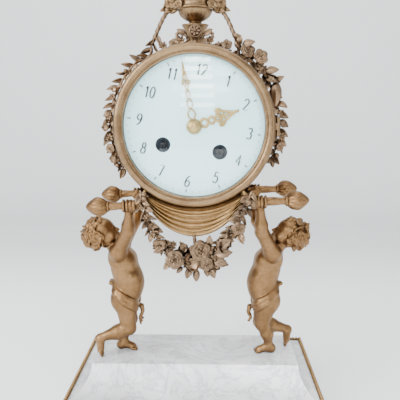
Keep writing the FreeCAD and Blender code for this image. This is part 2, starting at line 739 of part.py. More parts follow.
def front_bezel():
    back = -drum_half_depth - 1.5
    body = turned("front_bezel", [
        (back - 2.8, sight_radius), (back - 3.7, sight_radius), (back - 4.0, sight_radius + 0.9),
        (back - 3.3, sight_radius + 1.4), (back - 2.2, bezel_radius - 0.2, back - 4.6, sight_radius + 4.2),
        (back - 0.6, bezel_radius), (back, bezel_radius), (back, sight_radius + 1.5),
        (back - 2.8, sight_radius + 1.5)], "Y", at(0, 0, axis_z))
    door_knuckle(body, "front_bezel", -1, back, back - 1.0)


def front_glass():
    back = -drum_half_depth - 1.5
    edge = sight_radius + 1.4
    half = sight_radius * 0.5
    crown = back - 6.2
    turned("front_glass", [
        (crown, 0), (crown, 0.5), (back - 2.4, edge, crown + 0.95, half), (back - 1.2, edge),
        (crown + 1.2, 0.5, crown + 2.15, half), (crown + 1.2, 0)], "Y", at(0, 0, axis_z))


def rear_door():
    front = drum_half_depth + 1.5
    body = turned("rear_door", [
        (front, 0), (front, bezel_radius - 1), (front + 1.4, bezel_radius - 1),
        (front + 2.6, bezel_radius - 5, front + 2.6, bezel_radius - 2.6), (front + 1.6, bezel_radius - 9),
        (front + 2.6, 5), (front + 4.6, 3.4), (front + 5.4, 1.0, front + 5.2, 2.4), (front + 5.4, 0)],
        "Y", at(0, 0, axis_z))
    door_knuckle(body, "rear_door", 1, front, front + 1.0)


def movement_straps():
    """Two flat straps that tie the front ring to the rear ring through the drum."""
    bars = [block(side * 45.5 - 0.9, side * 45.5 + 0.9, -19, 28, -3, 3) for side in (-1, 1)]
    shaped("movement_straps", Part.makeCompound(bars), at(0, 0, axis_z))


def strap_screws():
    screws = []
    for side in (-1, 1):
        screws.append(rod_y(0.8, 28, 29.5, side * 45.5).fuse(rod_y(1.3, 29.5, 30.9, side * 45.5)))
    shaped("strap_screws", Part.makeCompound(screws), at(0, 0, axis_z))


def rear_ring_lugs(ring):
    """Lugs inside the rear ring that the strap screws pass through."""
    for side in (-1, 1):
        name = "left" if side < 0 else "right"
        sketch = on_plane(ring, f"{name}_lug_outline", "XZ_Plane")
        sketch.AttachmentOffset = FreeCAD.Placement(V(0, 0, -28), FreeCAD.Rotation())
        ends = (side * 43.4, side * 47.3)
        outline(sketch, [(min(ends), -3.2), (max(ends), -3.2), (max(ends), 3.2), (min(ends), 3.2)])
        round_hole(sketch, side * 45.5, 0, 0.8)
        pad = ring.newObject("PartDesign::Pad", f"{name}_lug")
        pad.Profile = sketch
        pad.Length = 1.5
        pad.Reversed = True
        ring.Tip = pad


# ---------------------------------------------------------------- dial and hands
def dial():
    """Domed enamel dial with copper feet soldered behind it."""
    body = turned("dial", [(-28.6, 3.8), (-27.4, dial_radius, -28.3, dial_radius * 0.5),
                           (-26.2, dial_radius), (-26.2, 3.8)], "Y", works())
    holes = on_plane(body, "dial_holes", "XZ_Plane")
    for side in (-1, 1):
        round_hole(holes, barrel_spread * side, -barrel_drop, 5)
    pocket = body.newObject("PartDesign::Pocket", "dial_holes_cut")
    pocket.Profile = holes
    pocket.Type = "ThroughAll"
    pocket.Midplane = True
    feet = on_plane(body, "dial_feet_outline", "XZ_Plane")
    feet.AttachmentOffset = FreeCAD.Placement(V(0, 0, 21.0), FreeCAD.Rotation())
    for degrees in (45, 135, 225, 315):
        angle = math.radians(degrees)
        round_hole(feet, 36 * math.cos(angle), 36 * math.sin(angle), 1)
    pad = body.newObject("PartDesign::Pad", "dial_feet")
    pad.Profile = feet
    pad.Length = 5.3
    body.Tip = pad


def hand_shape(length, half_width, eye):
    """Pierced hand along +z: a ring on the boss, two scrolls and a leaf point."""
    ring = Part.Face(Part.Wire(Part.makeCircle(eye + 1.8, V(0, 0, 0), V(0, 1, 0))))
    leaf_start = length * 0.52
    leaf = Part.Face(Part.makePolygon([
        V(0, 0, leaf_start - 1), V(half_width, 0, leaf_start + 0.16 * length), V(0.6, 0, length * 0.9),
        V(0, 0, length), V(-0.6, 0, length * 0.9), V(-half_width, 0, leaf_start + 0.16 * length),
        V(0, 0, leaf_start - 1)]))
    stem = Part.Face(Part.makePolygon([V(-0.8, 0, 1), V(0.8, 0, 1), V(0.8, 0, leaf_start + 1),
                                       V(-0.8, 0, leaf_start + 1), V(-0.8, 0, 1)]))
    loop = Part.Face(Part.Wire(Part.makeCircle(half_width * 0.8, V(0, 0, length * 0.34), V(0, 1, 0))))
    flat = ring.multiFuse([leaf, stem, loop])
    blade = flat.extrude(V(0, 0.7, 0))
    return joined([solid for solid in blade.Solids]) if len(blade.Solids) > 1 else blade


def hour_hand():
    hand = hand_shape(float(hour_hand_length), 4.4, 3.0)
    hand = hand.cut(rod_y(3.0, -2, 2))
    shaped("hour_hand", hand, at(0, -30.4, axis_z, 70.4))


def minute_hand():
    hand = hand_shape(float(minute_hand_length), 2.6, 2.0)
    hand = hand.cut(rod_y(1.5, -2, 2))
    shaped("minute_hand", hand, at(0, -32.0, axis_z, -10.5))


def hand_nut():
    turned("hand_nut", [(-32.0, 1.5), (-32.0, 4.4), (-33.6, 2.6, -33.1, 4.0), (-33.6, 1.5)], "Y",
           at(0, 0, axis_z))


# ---------------------------------------------------------------- movement
def toothed(teeth, module, phase, thick=0.46, tip=0.2):
    """Outline of a toothed wheel in the XZ plane; phase is the angle of one tooth's centre."""
    pitch = 2 * math.pi / teeth
    radius = teeth * module / 2
    outer = radius + 0.85 * module
    inner = radius - 1.15 * module
    points = []
    for number in range(teeth):
        centre = phase + number * pitch
        for reach, offset in ((inner, -thick), (radius, -thick * 0.84), (outer, -tip),
                              (outer, tip), (radius, thick * 0.84), (inner, thick)):
            angle = centre + offset * pitch / 2
            points.append(V(reach * math.cos(angle), 0, reach * math.sin(angle)))
    return Part.Face(Part.makePolygon(points + [points[0]]))


def gear(teeth, module, phase, y_front, y_back):
    face = toothed(teeth, module, phase)
    face.translate(V(0, y_front, 0))
    return face.extrude(V(0, y_back - y_front, 0))


def crossed(wheel, hub, rim, y_front, y_back, count=4):
    """Lighten a wheel with round windows between hub and rim."""
    middle = (hub + rim) / 2
    window = min((rim - hub) / 2, middle * math.sin(math.pi / count) - 0.7)
    for number in range(count):
        angle = 2 * math.pi * (number + 0.5) / count
        wheel = wheel.cut(rod_y(window, y_front - 1, y_back + 1, middle * math.cos(angle),
                                middle * math.sin(angle)))
    return wheel


def mesh_phase(driver_at, driver_teeth, driver_phase, follower_at, follower_teeth):
    """Phase that drops a follower's gap over the driver's tooth on the line of centres."""
    toward = math.atan2(follower_at[1] - driver_at[1], follower_at[0] - driver_at[0])
    along = (toward - driver_phase) * driver_teeth / (2 * math.pi)
    return toward + math.pi - (0.5 - along) * 2 * math.pi / follower_teeth


def meeting(first, first_distance, second, second_distance, side):
    """The point at given distances from two others, on the chosen side of their line."""
    dx = second[0] - first[0]
    dz = second[1] - first[1]
    gap = math.hypot(dx, dz)
    along = (first_distance ** 2 - second_distance ** 2 + gap ** 2) / (2 * gap)
    off = side * math.sqrt(first_distance ** 2 - along ** 2)
    return (first[0] + along * dx / gap - off * dz / gap, first[1] + along * dz / gap + off * dx / gap)


GREAT, PINION_BIG = 60, 10
WHEEL, LEAVES = 48, 8
FINE = 42
CANNON, MINUTE, MINUTE_PINION, HOUR = 12, 36, 10, 40
motion_distance = (CANNON + MINUTE) * float(fine_module) / 2
hour_module = 2 * motion_distance / (MINUTE_PINION + HOUR)

centre = (0.0, 0.0)
going = (float(barrel_spread), -float(barrel_drop))
strike = (-float(barrel_spread), -float(barrel_drop))
great_distance = (GREAT + PINION_BIG) * float(great_module) / 2
wheel_distance = (WHEEL + LEAVES) * float(wheel_module) / 2
fine_distance = (FINE + LEAVES) * float(fine_module) / 2
escape = (0.0, 24.2)
intermediate = meeting(centre, wheel_distance, going, great_distance, 1)
third = meeting(centre, wheel_distance, escape, fine_distance, 1)
pin = (strike[0] + great_distance * math.cos(math.radians(85)),
       strike[1] + great_distance * math.sin(math.radians(85)))
locking = (pin[0] + wheel_distance * math.cos(math.radians(100)),
           pin[1] + wheel_distance * math.sin(math.radians(100)))
fly = (locking[0] + fine_distance * math.cos(math.radians(215)),
       locking[1] + fine_distance * math.sin(math.radians(215)))
pallets = (0.0, 35.0)
minute_stud = (0.0, -motion_distance)

phase_going = 0.0
phase_intermediate_pinion = mesh_phase(going, GREAT, phase_going, intermediate, PINION_BIG)
phase_intermediate = 0.0
phase_centre_pinion = mesh_phase(intermediate, WHEEL, phase_intermediate, centre, LEAVES)
phase_centre = 0.0
phase_third_pinion = mesh_phase(centre, WHEEL, phase_centre, third, LEAVES)
phase_third = 0.0
phase_escape_pinion = mesh_phase(third, FINE, phase_third, escape, LEAVES)
phase_pin_pinion = mesh_phase(strike, GREAT, 0.0, pin, PINION_BIG)
phase_locking_pinion = mesh_phase(pin, WHEEL, 0.0, locking, LEAVES)
phase_fly_pinion = mesh_phase(locking, FINE, 0.0, fly, LEAVES)
phase_minute = mesh_phase(centre, CANNON, 0.0, minute_stud, MINUTE)
phase_hour = mesh_phase(minute_stud, MINUTE_PINION, 0.0, centre, HOUR)

FRONT_PIVOT = -20.7
BACK_PIVOT = 5.2
PLATE_GAP = (-19.3, 3.8)


def arbor(radius=1.0):
    """A plain arbor between the plates, with a thinner pivot at each end."""
    body = rod_y(radius, PLATE_GAP[0], PLATE_GAP[1])
    return body.fuse(rod_y(pivot_radius, FRONT_PIVOT, BACK_PIVOT))


def front_plate():
    def draw(sketch):
        round_hole(sketch, 0, 0, ring_bore)
        round_hole(sketch, 0, 0, 1.5 + running_gap)
        for spot in (going, strike):
            round_hole(sketch, spot[0], spot[1], 2.5 + running_gap)
        for spot in (intermediate, third, escape, pin, locking, fly, pallets):
            round_hole(sketch, spot[0], spot[1], pivot_radius + running_gap)
        round_hole(sketch, minute_stud[0], minute_stud[1], 0.75)
    plate("front_plate", works(0, 0, float(front_plate_back)), plate_thickness, draw)


def back_plate():
    def draw(sketch):
        round_hole(sketch, 0, 0, back_plate_radius)
        for spot in (going, strike):
            round_hole(sketch, spot[0], spot[1], 1.5 + running_gap)
        for spot in (centre, intermediate, third, escape, pin, locking, fly):
            round_hole(sketch, spot[0], spot[1], pivot_radius + running_gap)
        round_hole(sketch, pallets[0], pallets[1], 2.5)
    plate("back_plate", works(0, 0, float(back_plate_back)), plate_thickness, draw)


def plate_pillars():
    pillars = []
    for degrees in (0, 50, 115, 180, 270):
        angle = math.radians(degrees)
        x = 36 * math.cos(angle)
        z = 36 * math.sin(angle)
        pillars.append(rod_y(2.2, -19.5, 4, x, z).fuse(rod_y(1.7, -16, 1, x, z)))
    shaped("plate_pillars", Part.makeCompound(pillars), works())


def barrel(label, spot, phase):
    """Spring barrel: great wheel, drum and cover, hollow round its arbor."""
    drum = gear(GREAT, float(great_module), phase, -17.5, -16.0)
    drum = drum.fuse(rod_y(15.5, -16.0, -4.0))
    drum = drum.cut(rod_y(14.3, -15.0, -5.0))
    drum = drum.cut(rod_y(2.5 + float(running_gap), -30, 10))
    shaped(label, drum, works(*spot))


def winding_arbor(label, spot):
    """Arbor with a square for the key, a ratchet wheel under the dial and a plain rear pivot."""
    shaft = rod_y(2.5, -22.6, 3.8).fuse(rod_y(1.5, 3.8, 5.2))
    half = 1.72
    shaft = shaft.fuse(block(-half, half, -27.9, -22.6, -half, half))
    teeth = 24
    points = []
    for number in range(teeth):
        angle = 2 * math.pi * number / teeth
        rise = angle + 0.93 * 2 * math.pi / teeth
        points.append(V(5.9 * math.cos(angle), -22.6, 5.9 * math.sin(angle)))
        points.append(V(7.0 * math.cos(rise), -22.6, 7.0 * math.sin(rise)))
    ratchet = Part.Face(Part.makePolygon(points + [points[0]])).extrude(V(0, 1.1, 0))
    shaped(label, shaft.fuse(ratchet), works(*spot))


CLICK_PIVOT = (8.3, 8.5)
CLICK_TURNS = {"going": 0, "strike": -90}


def click(label, spot, quarter_turn):
    """Pawl outside its ratchet wheel, its nose in the gap behind one tooth."""
    corners = [(6.2, 0.12), (6.75, 1.3), (7.4, 2.6), (7.3, 8.5), (9.3, 8.5), (8.4, 2.0), (7.3, 0.02)]
    points = [V(x, -22.5, z) for x, z in corners]
    arm = Part.Face(Part.makePolygon(points + [points[0]])).extrude(V(0, 1.0, 0))
    arm = arm.fuse(rod_y(1.9, -22.5, -21.5, *CLICK_PIVOT)).cut(rod_y(0.8, -30, 0, *CLICK_PIVOT))
    arm.rotate(V(0, 0, 0), V(0, 1, 0), quarter_turn)
    shaped(label, arm, works(*spot))


def front_studs():
    """Shoulder screws in the front plate for the minute wheel and the two clicks."""
    wheel_stud = rod_y(0.75, -25.4, -19.5, *minute_stud).fuse(rod_y(1.4, -26.0, -25.4, *minute_stud))
    studs = [wheel_stud]
    for spot, quarter_turn in ((going, CLICK_TURNS["going"]), (strike, CLICK_TURNS["strike"])):
        stud = rod_y(0.75, -22.8, -21.0, *CLICK_PIVOT).fuse(rod_y(1.4, -23.3, -22.8, *CLICK_PIVOT))
        stud.rotate(V(0, 0, 0), V(0, 1, 0), quarter_turn)
        stud.translate(V(spot[0], 0, spot[1]))
        studs.append(stud)
    shaped("front_studs", Part.makeCompound(studs), works())


def train_member(label, spot, pinion_teeth, pinion_module, pinion_phase, pinion_span, wheel):
    """Arbor with its pinion and the wheel fixed on it."""
    solid = arbor().fuse(gear(pinion_teeth, pinion_module, pinion_phase, *pinion_span))
    if wheel is not None:
        solid = solid.fuse(wheel)
    shaped(label, solid, works(*spot))


def wheel_blank(teeth, module, phase, span):
    blank = gear(teeth, module, phase, *span)
    root = teeth * module / 2 - 1.15 * module
    return crossed(blank, 2.2, root - 0.9, *span)


def going_train():
    train_member("intermediate_wheel", intermediate, PINION_BIG, float(great_module),
                 phase_intermediate_pinion, (-18.2, -15.6),
                 wheel_blank(WHEEL, float(wheel_module), phase_intermediate, (-2.6, -1.4)))
    train_member("third_wheel", third, LEAVES, float(wheel_module), phase_third_pinion, (-0.6, 1.8),
                 wheel_blank(FINE, float(fine_module), phase_third, (-8.0, -7.0)))
    teeth = 30
    points = []
    for number in range(teeth):
        angle = 2 * math.pi * number / teeth
        points.append(V(6.9 * math.cos(angle), -12, 6.9 * math.sin(angle)))
        lean = angle + 2 * math.pi / teeth * 0.55
        points.append(V(8.0 * math.cos(lean), -12, 8.0 * math.sin(lean)))
        points.append(V(8.0 * math.cos(lean + 0.02), -12, 8.0 * math.sin(lean + 0.02)))
    wheel = Part.Face(Part.makePolygon(points + [points[0]])).extrude(V(0, 1.0, 0))
    train_member("escape_wheel", escape, LEAVES, float(fine_module), phase_escape_pinion, (-8.6, -6.4),
                 crossed(wheel, 1.8, 6.2, -12, -11))


def strike_train():
    wheel = wheel_blank(WHEEL, float(wheel_module), 0.0, (-2.6, -1.4))
    for number in range(8):
        angle = 2 * math.pi * number / 8
        wheel = wheel.fuse(rod_y(0.5, -1.4, -0.4, 10.6 * math.cos(angle), 10.6 * math.sin(angle)))
    train_member("pin_wheel", pin, PINION_BIG, float(great_module), phase_pin_pinion, (-18.2, -15.6), wheel)
    train_member("locking_wheel", locking, LEAVES, float(wheel_module), phase_locking_pinion, (-3.2, -0.8),
                 wheel_blank(FINE, float(fine_module), 0.0, (-12.0, -11.0)))
    vane = block(-5.4, 5.4, -9.5, -3.6, -0.25, 0.25)
    train_member("fly", fly, LEAVES, float(fine_module), phase_fly_pinion, (-12.6, -10.4), vane)


def centre_arbor():
    """Centre arbor with its pinion, the cannon in front and the seat of the minute hand."""
    solid = rod_y(1.5, -33.6, PLATE_GAP[1]).fuse(rod_y(pivot_radius, 3, BACK_PIVOT))
    solid = solid.fuse(gear(LEAVES, float(wheel_module), phase_centre_pinion, -3.2, -0.8))
    solid = solid.fuse(rod_y(2.04, -31.3, -21.2))
    solid = solid.fuse(gear(CANNON, float(fine_module), 0.0, -22.6, -21.3))
    shaped("centre_arbor", solid, works())


def centre_wheel():
    wheel = wheel_blank(WHEEL, float(wheel_module), phase_centre, (0.0, 1.2)).cut(rod_y(1.5, -5, 5))
    shaped("centre_wheel", wheel, works())


def minute_wheel():
    solid = gear(MINUTE, float(fine_module), phase_minute, -22.4, -21.4)
    solid = solid.fuse(gear(MINUTE_PINION, hour_module, 0.0, -25.2, -22.4)).cut(rod_y(0.8, -30, -19))
    shaped("minute_wheel", solid, works(*minute_stud))


def hour_wheel():
    solid = gear(HOUR, hour_module, phase_hour, -24.4, -23.4)
    solid = solid.fuse(rod_y(3.0, -30.6, -23.4)).cut(rod_y(2.1, -32, -20))
    shaped("hour_wheel", solid, works())


def pallet_anchor():
    """Pallet arbor with the anchor between the plates and the crutch behind them."""
    solid = rod_y(1.0, PLATE_GAP[0], 7.6).fuse(rod_y(pivot_radius, FRONT_PIVOT, 9.0))
    depth = pallets[1] - escape[1]
    reach = 8.65
    arms = []
    for side in (-1, 1):
        tip = V(side * reach * math.sin(math.radians(42)), 0, reach * math.cos(math.radians(42)) - depth)
        outer = V(side * 8.2, 0, -3.4)
        arms.append(Part.Face(Part.makePolygon([V(0, 0, 1.2), outer, tip, V(side * 4.6, 0, -1.9),
                                                V(0, 0, -1.0), V(0, 0, 1.2)])))
    for arm in arms:
        arm.translate(V(0, -12, 0))
        solid = solid.fuse(arm.extrude(V(0, 1.0, 0)))
    solid = solid.fuse(rod_y(1.7, -12.6, -10.4))
    spot = in_dial(*pallets)
    solid = solid.copy()
    solid.Placement = works(*pallets)
    crutch = rod(0.6, V(0, 7, 0), V(0, 7, -16)).fuse(block(-1.7, 1.7, 6.4, 7.6, -16.8, -15.6))
    for side in (-1, 1):
        crutch = crutch.fuse(rod_y(0.35, 7.2, 12, side * 1.25, -16.2))
    crutch.Placement = at(spot.x, 0, spot.z)
    shaped("pallet_anchor", solid.fuse(crutch))


def pendulum():
    """Rod with an eye on the cock's pin and a turned bob."""
    spot = in_dial(*pallets)
    length = 67.0
    solid = rod(0.8, V(0, 11, -1.4), V(0, 11, -length - 9.8)).fuse(rod_y(1.8, 10.0, 12.0))
    solid = solid.fuse(Part.makeCylinder(8.6, 3.2, V(0, 9.4, -length), V(0, 1, 0)))
    solid = solid.fuse(Part.makeCylinder(1.4, 1.6, V(0, 11, -length - 9.4)))
    solid = solid.cut(rod_y(0.85, 5, 15))
    shaped("pendulum", solid, at(spot.x, 0, spot.z))


def pendulum_cock():
    """Cock over the back plate: rear bearing of the pallets and the pendulum's pin."""
    bridge = block(-11, 11, 8.2, 9.6, -2.6, 3.4)
    for side in (-1, 1):
        bridge = bridge.fuse(rod_y(1.9, 5.5, 8.2, side * 9, 0.4))
    bridge = bridge.fuse(rod_y(0.8, 9.6, 13.0)).fuse(rod_y(1.5, 12.2, 13.0))
    bridge = bridge.cut(rod_y(float(pivot_radius) + float(running_gap), 8.0, 9.1))
    shaped("pendulum_cock", bridge, works(*pallets))


def bell():
    turned("bell", [(27.0, 1.3), (27.0, 6), (16.0, 24.0, 24.8, 19.0), (15.2, 24.0), (15.2, 22.6),
                    (25.8, 6, 23.6, 17.8), (25.8, 1.3)], "Y", at(0, 0, axis_z))


def bell_stand():
    """Post on the back plate and a bent arm that holds the bell by its crown."""
    post = V(-25.5, 0, -27.5)
    solid = rod_y(1.8, 5.5, 29.6, post.x, post.z)
    bar = Part.Face(Part.makePolygon([V(0, 0, 2), V(post.x, 0, post.z + 2.4), V(post.x, 0, post.z - 2.4),
                                      V(0, 0, -2), V(0, 0, 2)])).extrude(V(0, 1.4, 0))
    bar.translate(V(0, 28.2, 0))
    solid = solid.fuse(bar).fuse(rod_y(2.6, 27.0, 29.6)).fuse(rod_y(1.3, 25.0, 27.0)).fuse(rod_y(2.4, 24.0, 25.8))
    shaped("bell_stand", solid, at(0, 0, axis_z))


def hammer():
    """Hammer on its own stud, its head just clear of the bell's rim."""
    foot = V(27.5, 0, -24)
    head = V(27.7, 0, -2)
    solid = rod_y(1.9, 14.6, 18.2, foot.x, foot.z)
    solid = solid.fuse(rod(0.8, V(foot.x, 16.4, foot.z), V(head.x, 16.4, head.z)))
    solid = solid.fuse(rod(2.1, V(head.x - 3.2, 16.4, head.z), V(head.x + 4.2, 16.4, head.z)))
    solid = solid.cut(rod_y(1.05, 10, 20, foot.x, foot.z))
    shaped("hammer", solid, at(0, 0, axis_z))


def hammer_stud():
    foot = V(27.5, 0, -24)
    stud = rod_y(1.0, 5.5, 19.0, foot.x, foot.z).fuse(rod_y(1.7, 5.5, 14.4, foot.x, foot.z))
    shaped("hammer_stud", stud.fuse(rod_y(1.7, 18.4, 19.2, foot.x, foot.z)), at(0, 0, axis_z))


# ---------------------------------------------------------------- assembly
def build():
    marble_base()
    bead_border()
    bun_feet()
    base_nuts()
    putto("putto_left", -1)
    putto("putto_right", 1)
    litter_pole("litter_pole_front", -1)
    litter_pole("litter_pole_rear", 1)
    pole_buds("pole_buds_front", -1)
    pole_buds("pole_buds_rear", 1)
    cradle = drapery_cradle()
    shaped("drapery_cradle", cradle)
    shaped("garland_lower", garland_lower().cut(cradle))
    pedestal = urn_pedestal()
    urn()
    urn_bouquet()
    urn_rod()
    top_garland(pedestal)
    garland_side("garland_left", -1, ((39, 55, -9, 4.2), (52, 55, -8, 4.6), (66, 54.5, -7, 4.6),
                                      (80, 54.5, -6, 4.4), (94, 55, -6, 5.0), (108, 55, -5, 4.6), (119, 56, -5, 3.6)))
    garland_side("garland_right", 1, ((37, 56, -9, 6.2), (50, 56, -8, 6.0), (62, 55, -7, 4.6),
                                      (74, 54.5, -6, 5.6), (88, 55, -6, 4.4), (102, 55, -5, 4.4), (113, 56, -5, 3.4)))
    drum_case()
    case_bolt()
    door_ring("front_ring", -1)
    rear_ring_lugs(door_ring("rear_ring", 1))
    hinge_pins()
    front_bezel()
    front_glass()
    rear_door()
    movement_straps()
    strap_screws()
    dial()
    hour_hand()
    minute_hand()
    hand_nut()
    front_plate()
    back_plate()
    plate_pillars()
    barrel("going_barrel", going, phase_going)
    barrel("strike_barrel", strike, 0.0)
    winding_arbor("going_winding_arbor", going)
    winding_arbor("strike_winding_arbor", strike)
    click("going_click", going, CLICK_TURNS["going"])
    click("strike_click", strike, CLICK_TURNS["strike"])
    front_studs()
    centre_arbor()
    centre_wheel()
    going_train()
    strike_train()
    minute_wheel()
    hour_wheel()
    pallet_anchor()
    pendulum()
    pendulum_cock()
    bell()
    bell_stand()
    hammer()
    hammer_stud()


build()
doc.recompute()
os.makedirs("parts", exist_ok=True)
faults = []
for item in doc.Objects:
    if "Invalid" in item.State or "Error" in item.State:
        faults.append(f"{item.Label}: {item.State}")
for item in made:
    shape = item.Shape
    if shape.isNull() or not shape.isValid() or not shape.Solids:
        faults.append(f"{item.Label}: shape is null or not valid")
    else:
        shape.exportStep(f"parts/{item.Label}.step")
        box = shape.BoundBox
        print(f"{item.Label}: {len(shape.Solids)} solid(s), {shape.Volume:.0f} mm3, "
              f"x {box.XMin:.1f}..{box.XMax:.1f} y {box.YMin:.1f}..{box.YMax:.1f} z {box.ZMin:.1f}..{box.ZMax:.1f}")
if faults:
    raise RuntimeError("; ".join(faults))
print(len(made), "parts exported")
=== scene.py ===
import math

import bpy
import numpy as np
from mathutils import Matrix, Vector


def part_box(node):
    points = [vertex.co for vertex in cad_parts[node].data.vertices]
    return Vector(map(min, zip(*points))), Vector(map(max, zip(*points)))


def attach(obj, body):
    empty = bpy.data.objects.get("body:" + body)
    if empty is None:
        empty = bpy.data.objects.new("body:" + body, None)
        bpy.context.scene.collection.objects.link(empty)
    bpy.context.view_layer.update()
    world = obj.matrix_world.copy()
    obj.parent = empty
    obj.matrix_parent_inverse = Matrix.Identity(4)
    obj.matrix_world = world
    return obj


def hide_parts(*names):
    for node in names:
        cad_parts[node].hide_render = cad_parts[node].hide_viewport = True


# Mantel clock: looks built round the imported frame. Lengths in this file are millimetres,
# in the frame's axes (origin under the base, the dial faces -Y), and MM turns them to metres.
# Only the materials' noise scales and bump and hollow distances are in metres.

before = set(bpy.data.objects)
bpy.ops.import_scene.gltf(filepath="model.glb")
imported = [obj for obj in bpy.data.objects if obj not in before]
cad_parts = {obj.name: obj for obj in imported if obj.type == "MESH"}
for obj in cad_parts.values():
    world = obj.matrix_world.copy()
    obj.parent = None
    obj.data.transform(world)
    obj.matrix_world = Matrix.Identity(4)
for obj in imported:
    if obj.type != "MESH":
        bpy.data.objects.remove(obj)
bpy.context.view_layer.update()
MM = 0.001
rng = np.random.default_rng(7)


def corners(node):
    """Lowest and highest corner of a CAD node, in millimetres."""
    low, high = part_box(node)
    return np.array(low) / MM, np.array(high) / MM


case_low, case_high = corners("drum_case")
AXIS = (case_low + case_high) / 2
AXIS_Z = AXIS[2]
DRUM_R = (case_high[0] - case_low[0]) / 2
DECK = corners("marble_base")[1][2]
DIAL_FACE = corners("dial")[0][1]
DIAL_TURN = math.radians(7.3)
pole_low, pole_high = corners("litter_pole_front")
POLE_R = 2.7
POLE_HALF = 61
POLE_Y = -(pole_low[1] + pole_high[1]) / 2
TILT = math.radians(2)
POLE_DROP = DRUM_R + POLE_R
FIGURE_X = 52.0
FIGURE_Y = -3.0


# ---------------------------------------------------------------- mesh helpers
def unit(v):
    v = np.asarray(v, float)
    return v / np.linalg.norm(v)


def facing(direction, spin=0.0):
    """Rows are the axes of a frame whose z points along direction."""
    z = unit(direction)
    helper = (0, 0, 1) if abs(z[2]) < 0.9 else (1, 0, 0)
    x = unit(np.cross(helper, z))
    y = np.cross(z, x)
    c, s = math.cos(spin), math.sin(spin)
    return np.array([c * x + s * y, c * y - s * x, z])


def placed(part, where, direction=(0, 0, 1), spin=0.0, scale=1.0):
    verts, faces = part
    return verts * scale @ facing(direction, spin) + np.asarray(where, float), faces


def joined(parts):
    """Several (verts, faces) parts as one."""
    verts, faces, start = [], [], 0
    for part_verts, part_faces in parts:
        verts.append(part_verts)
        faces += [tuple(i + start for i in face) for face in part_faces]
        start += len(part_verts)
    return np.vstack(verts), faces


def piece(name, part, material, body, replaces=(), smooth=True):
    """A new object from (verts, faces) in millimetres, riding on a body."""
    verts, faces = part
    mesh = bpy.data.meshes.new(name)
    mesh.from_pydata((verts * MM).tolist(), [], faces)
    mesh.validate()
    mesh.polygons.foreach_set("use_smooth", [smooth] * len(mesh.polygons))
    mesh.materials.append(material)
    obj = bpy.data.objects.new(name, mesh)
    bpy.context.scene.collection.objects.link(obj)
    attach(obj, body)
    if replaces:
        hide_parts(*replaces)
    return obj


def rings_closed(rings):
    """Faces round a stack of closed rings (n, k, 3), capped at both ends."""
    n, k = rings.shape[:2]
    verts = np.vstack([rings.reshape(-1, 3), rings[0].mean(0), rings[-1].mean(0)])
    faces = []
    for i in range(n - 1):
        for j in range(k):
            a, b = i * k + j, i * k + (j + 1) % k
            faces.append((a, b, b + k, a + k))
    for j in range(k):
        faces.append((n * k, (j + 1) % k, j))
        faces.append((n * k + 1, (n - 1) * k + j, (n - 1) * k + (j + 1) % k))
    return verts, faces


def spline(points, count):
    """Catmull-Rom curve through the points, evenly stepped in its parameter."""
    p = np.asarray(points, float)
    p = np.vstack([2 * p[0] - p[1], p, 2 * p[-1] - p[-2]])
    t = np.linspace(0, len(p) - 3 - 1e-9, count)
    i = t.astype(int)
    f = (t - i)[:, None]
    a, b, c, d = p[i], p[i + 1], p[i + 2], p[i + 3]
    square, cube = 2 * a - 5 * b + 4 * c - d, 3 * b - a - 3 * c + d
    return 0.5 * (2 * b + (c - a) * f + square * f ** 2 + cube * f ** 3)


def sweep_axes(points):
    """Two axes across a path at each point, carried along without twisting."""
    along = np.gradient(points, axis=0)
    along /= np.linalg.norm(along, axis=1)[:, None]
    across = [facing(along[0])[0]]
    for direction in along[1:]:
        kept = across[-1] - direction * np.dot(across[-1], direction)
        across.append(unit(kept))
    across = np.array(across)
    return across, np.cross(along, across)


def tube(points, radius, sides=10, ribs=0, depth=0.0, twist=0.0):
    """A round or ribbed rod along a path; radius is one number or one for each point."""
    points = np.asarray(points, float)
    across, up = sweep_axes(points)
    radii = np.broadcast_to(np.asarray(radius, float), len(points))
    angle = np.linspace(0, 2 * math.pi, sides, endpoint=False)
    step = np.linspace(0, 1, len(points))[:, None]
    wave = 1 + depth * np.cos(ribs * (angle[None] + twist * step)) if ribs else np.ones((len(points), sides))
    r = radii[:, None] * wave
    rings = points[:, None] + (r * np.cos(angle))[..., None] * across[:, None]
    rings = rings + (r * np.sin(angle))[..., None] * up[:, None]
    return rings_closed(rings)


def lathe(profile, around=32, ribs=0, depth=0.0, rib_from=0.0, rib_to=1.0):
    """A turned shape about z from (radius, height) pairs, with ribs over a share of its height."""
    profile = np.asarray(profile, float)
    angle = np.linspace(0, 2 * math.pi, around, endpoint=False)
    share = np.linspace(0, 1, len(profile))
    on = np.clip((share - rib_from) * 6, 0, 1) * np.clip((rib_to - share) * 6, 0, 1)
    wave = 1 - depth * on[:, None] * (1 - np.abs(np.cos(ribs * angle / 2))[None]) if ribs else 1
    r = profile[:, :1] * wave * np.ones((1, around))
    rings = np.stack([r * np.cos(angle), r * np.sin(angle), profile[:, 1:2] * np.ones((1, around))], axis=2)
    return rings_closed(rings)


def ball(radius=1.0, rows=7, around=12):
    angle = np.linspace(0.12, math.pi - 0.12, rows)
    return lathe(np.stack([radius * np.sin(angle), -radius * np.cos(angle)], axis=1), around)


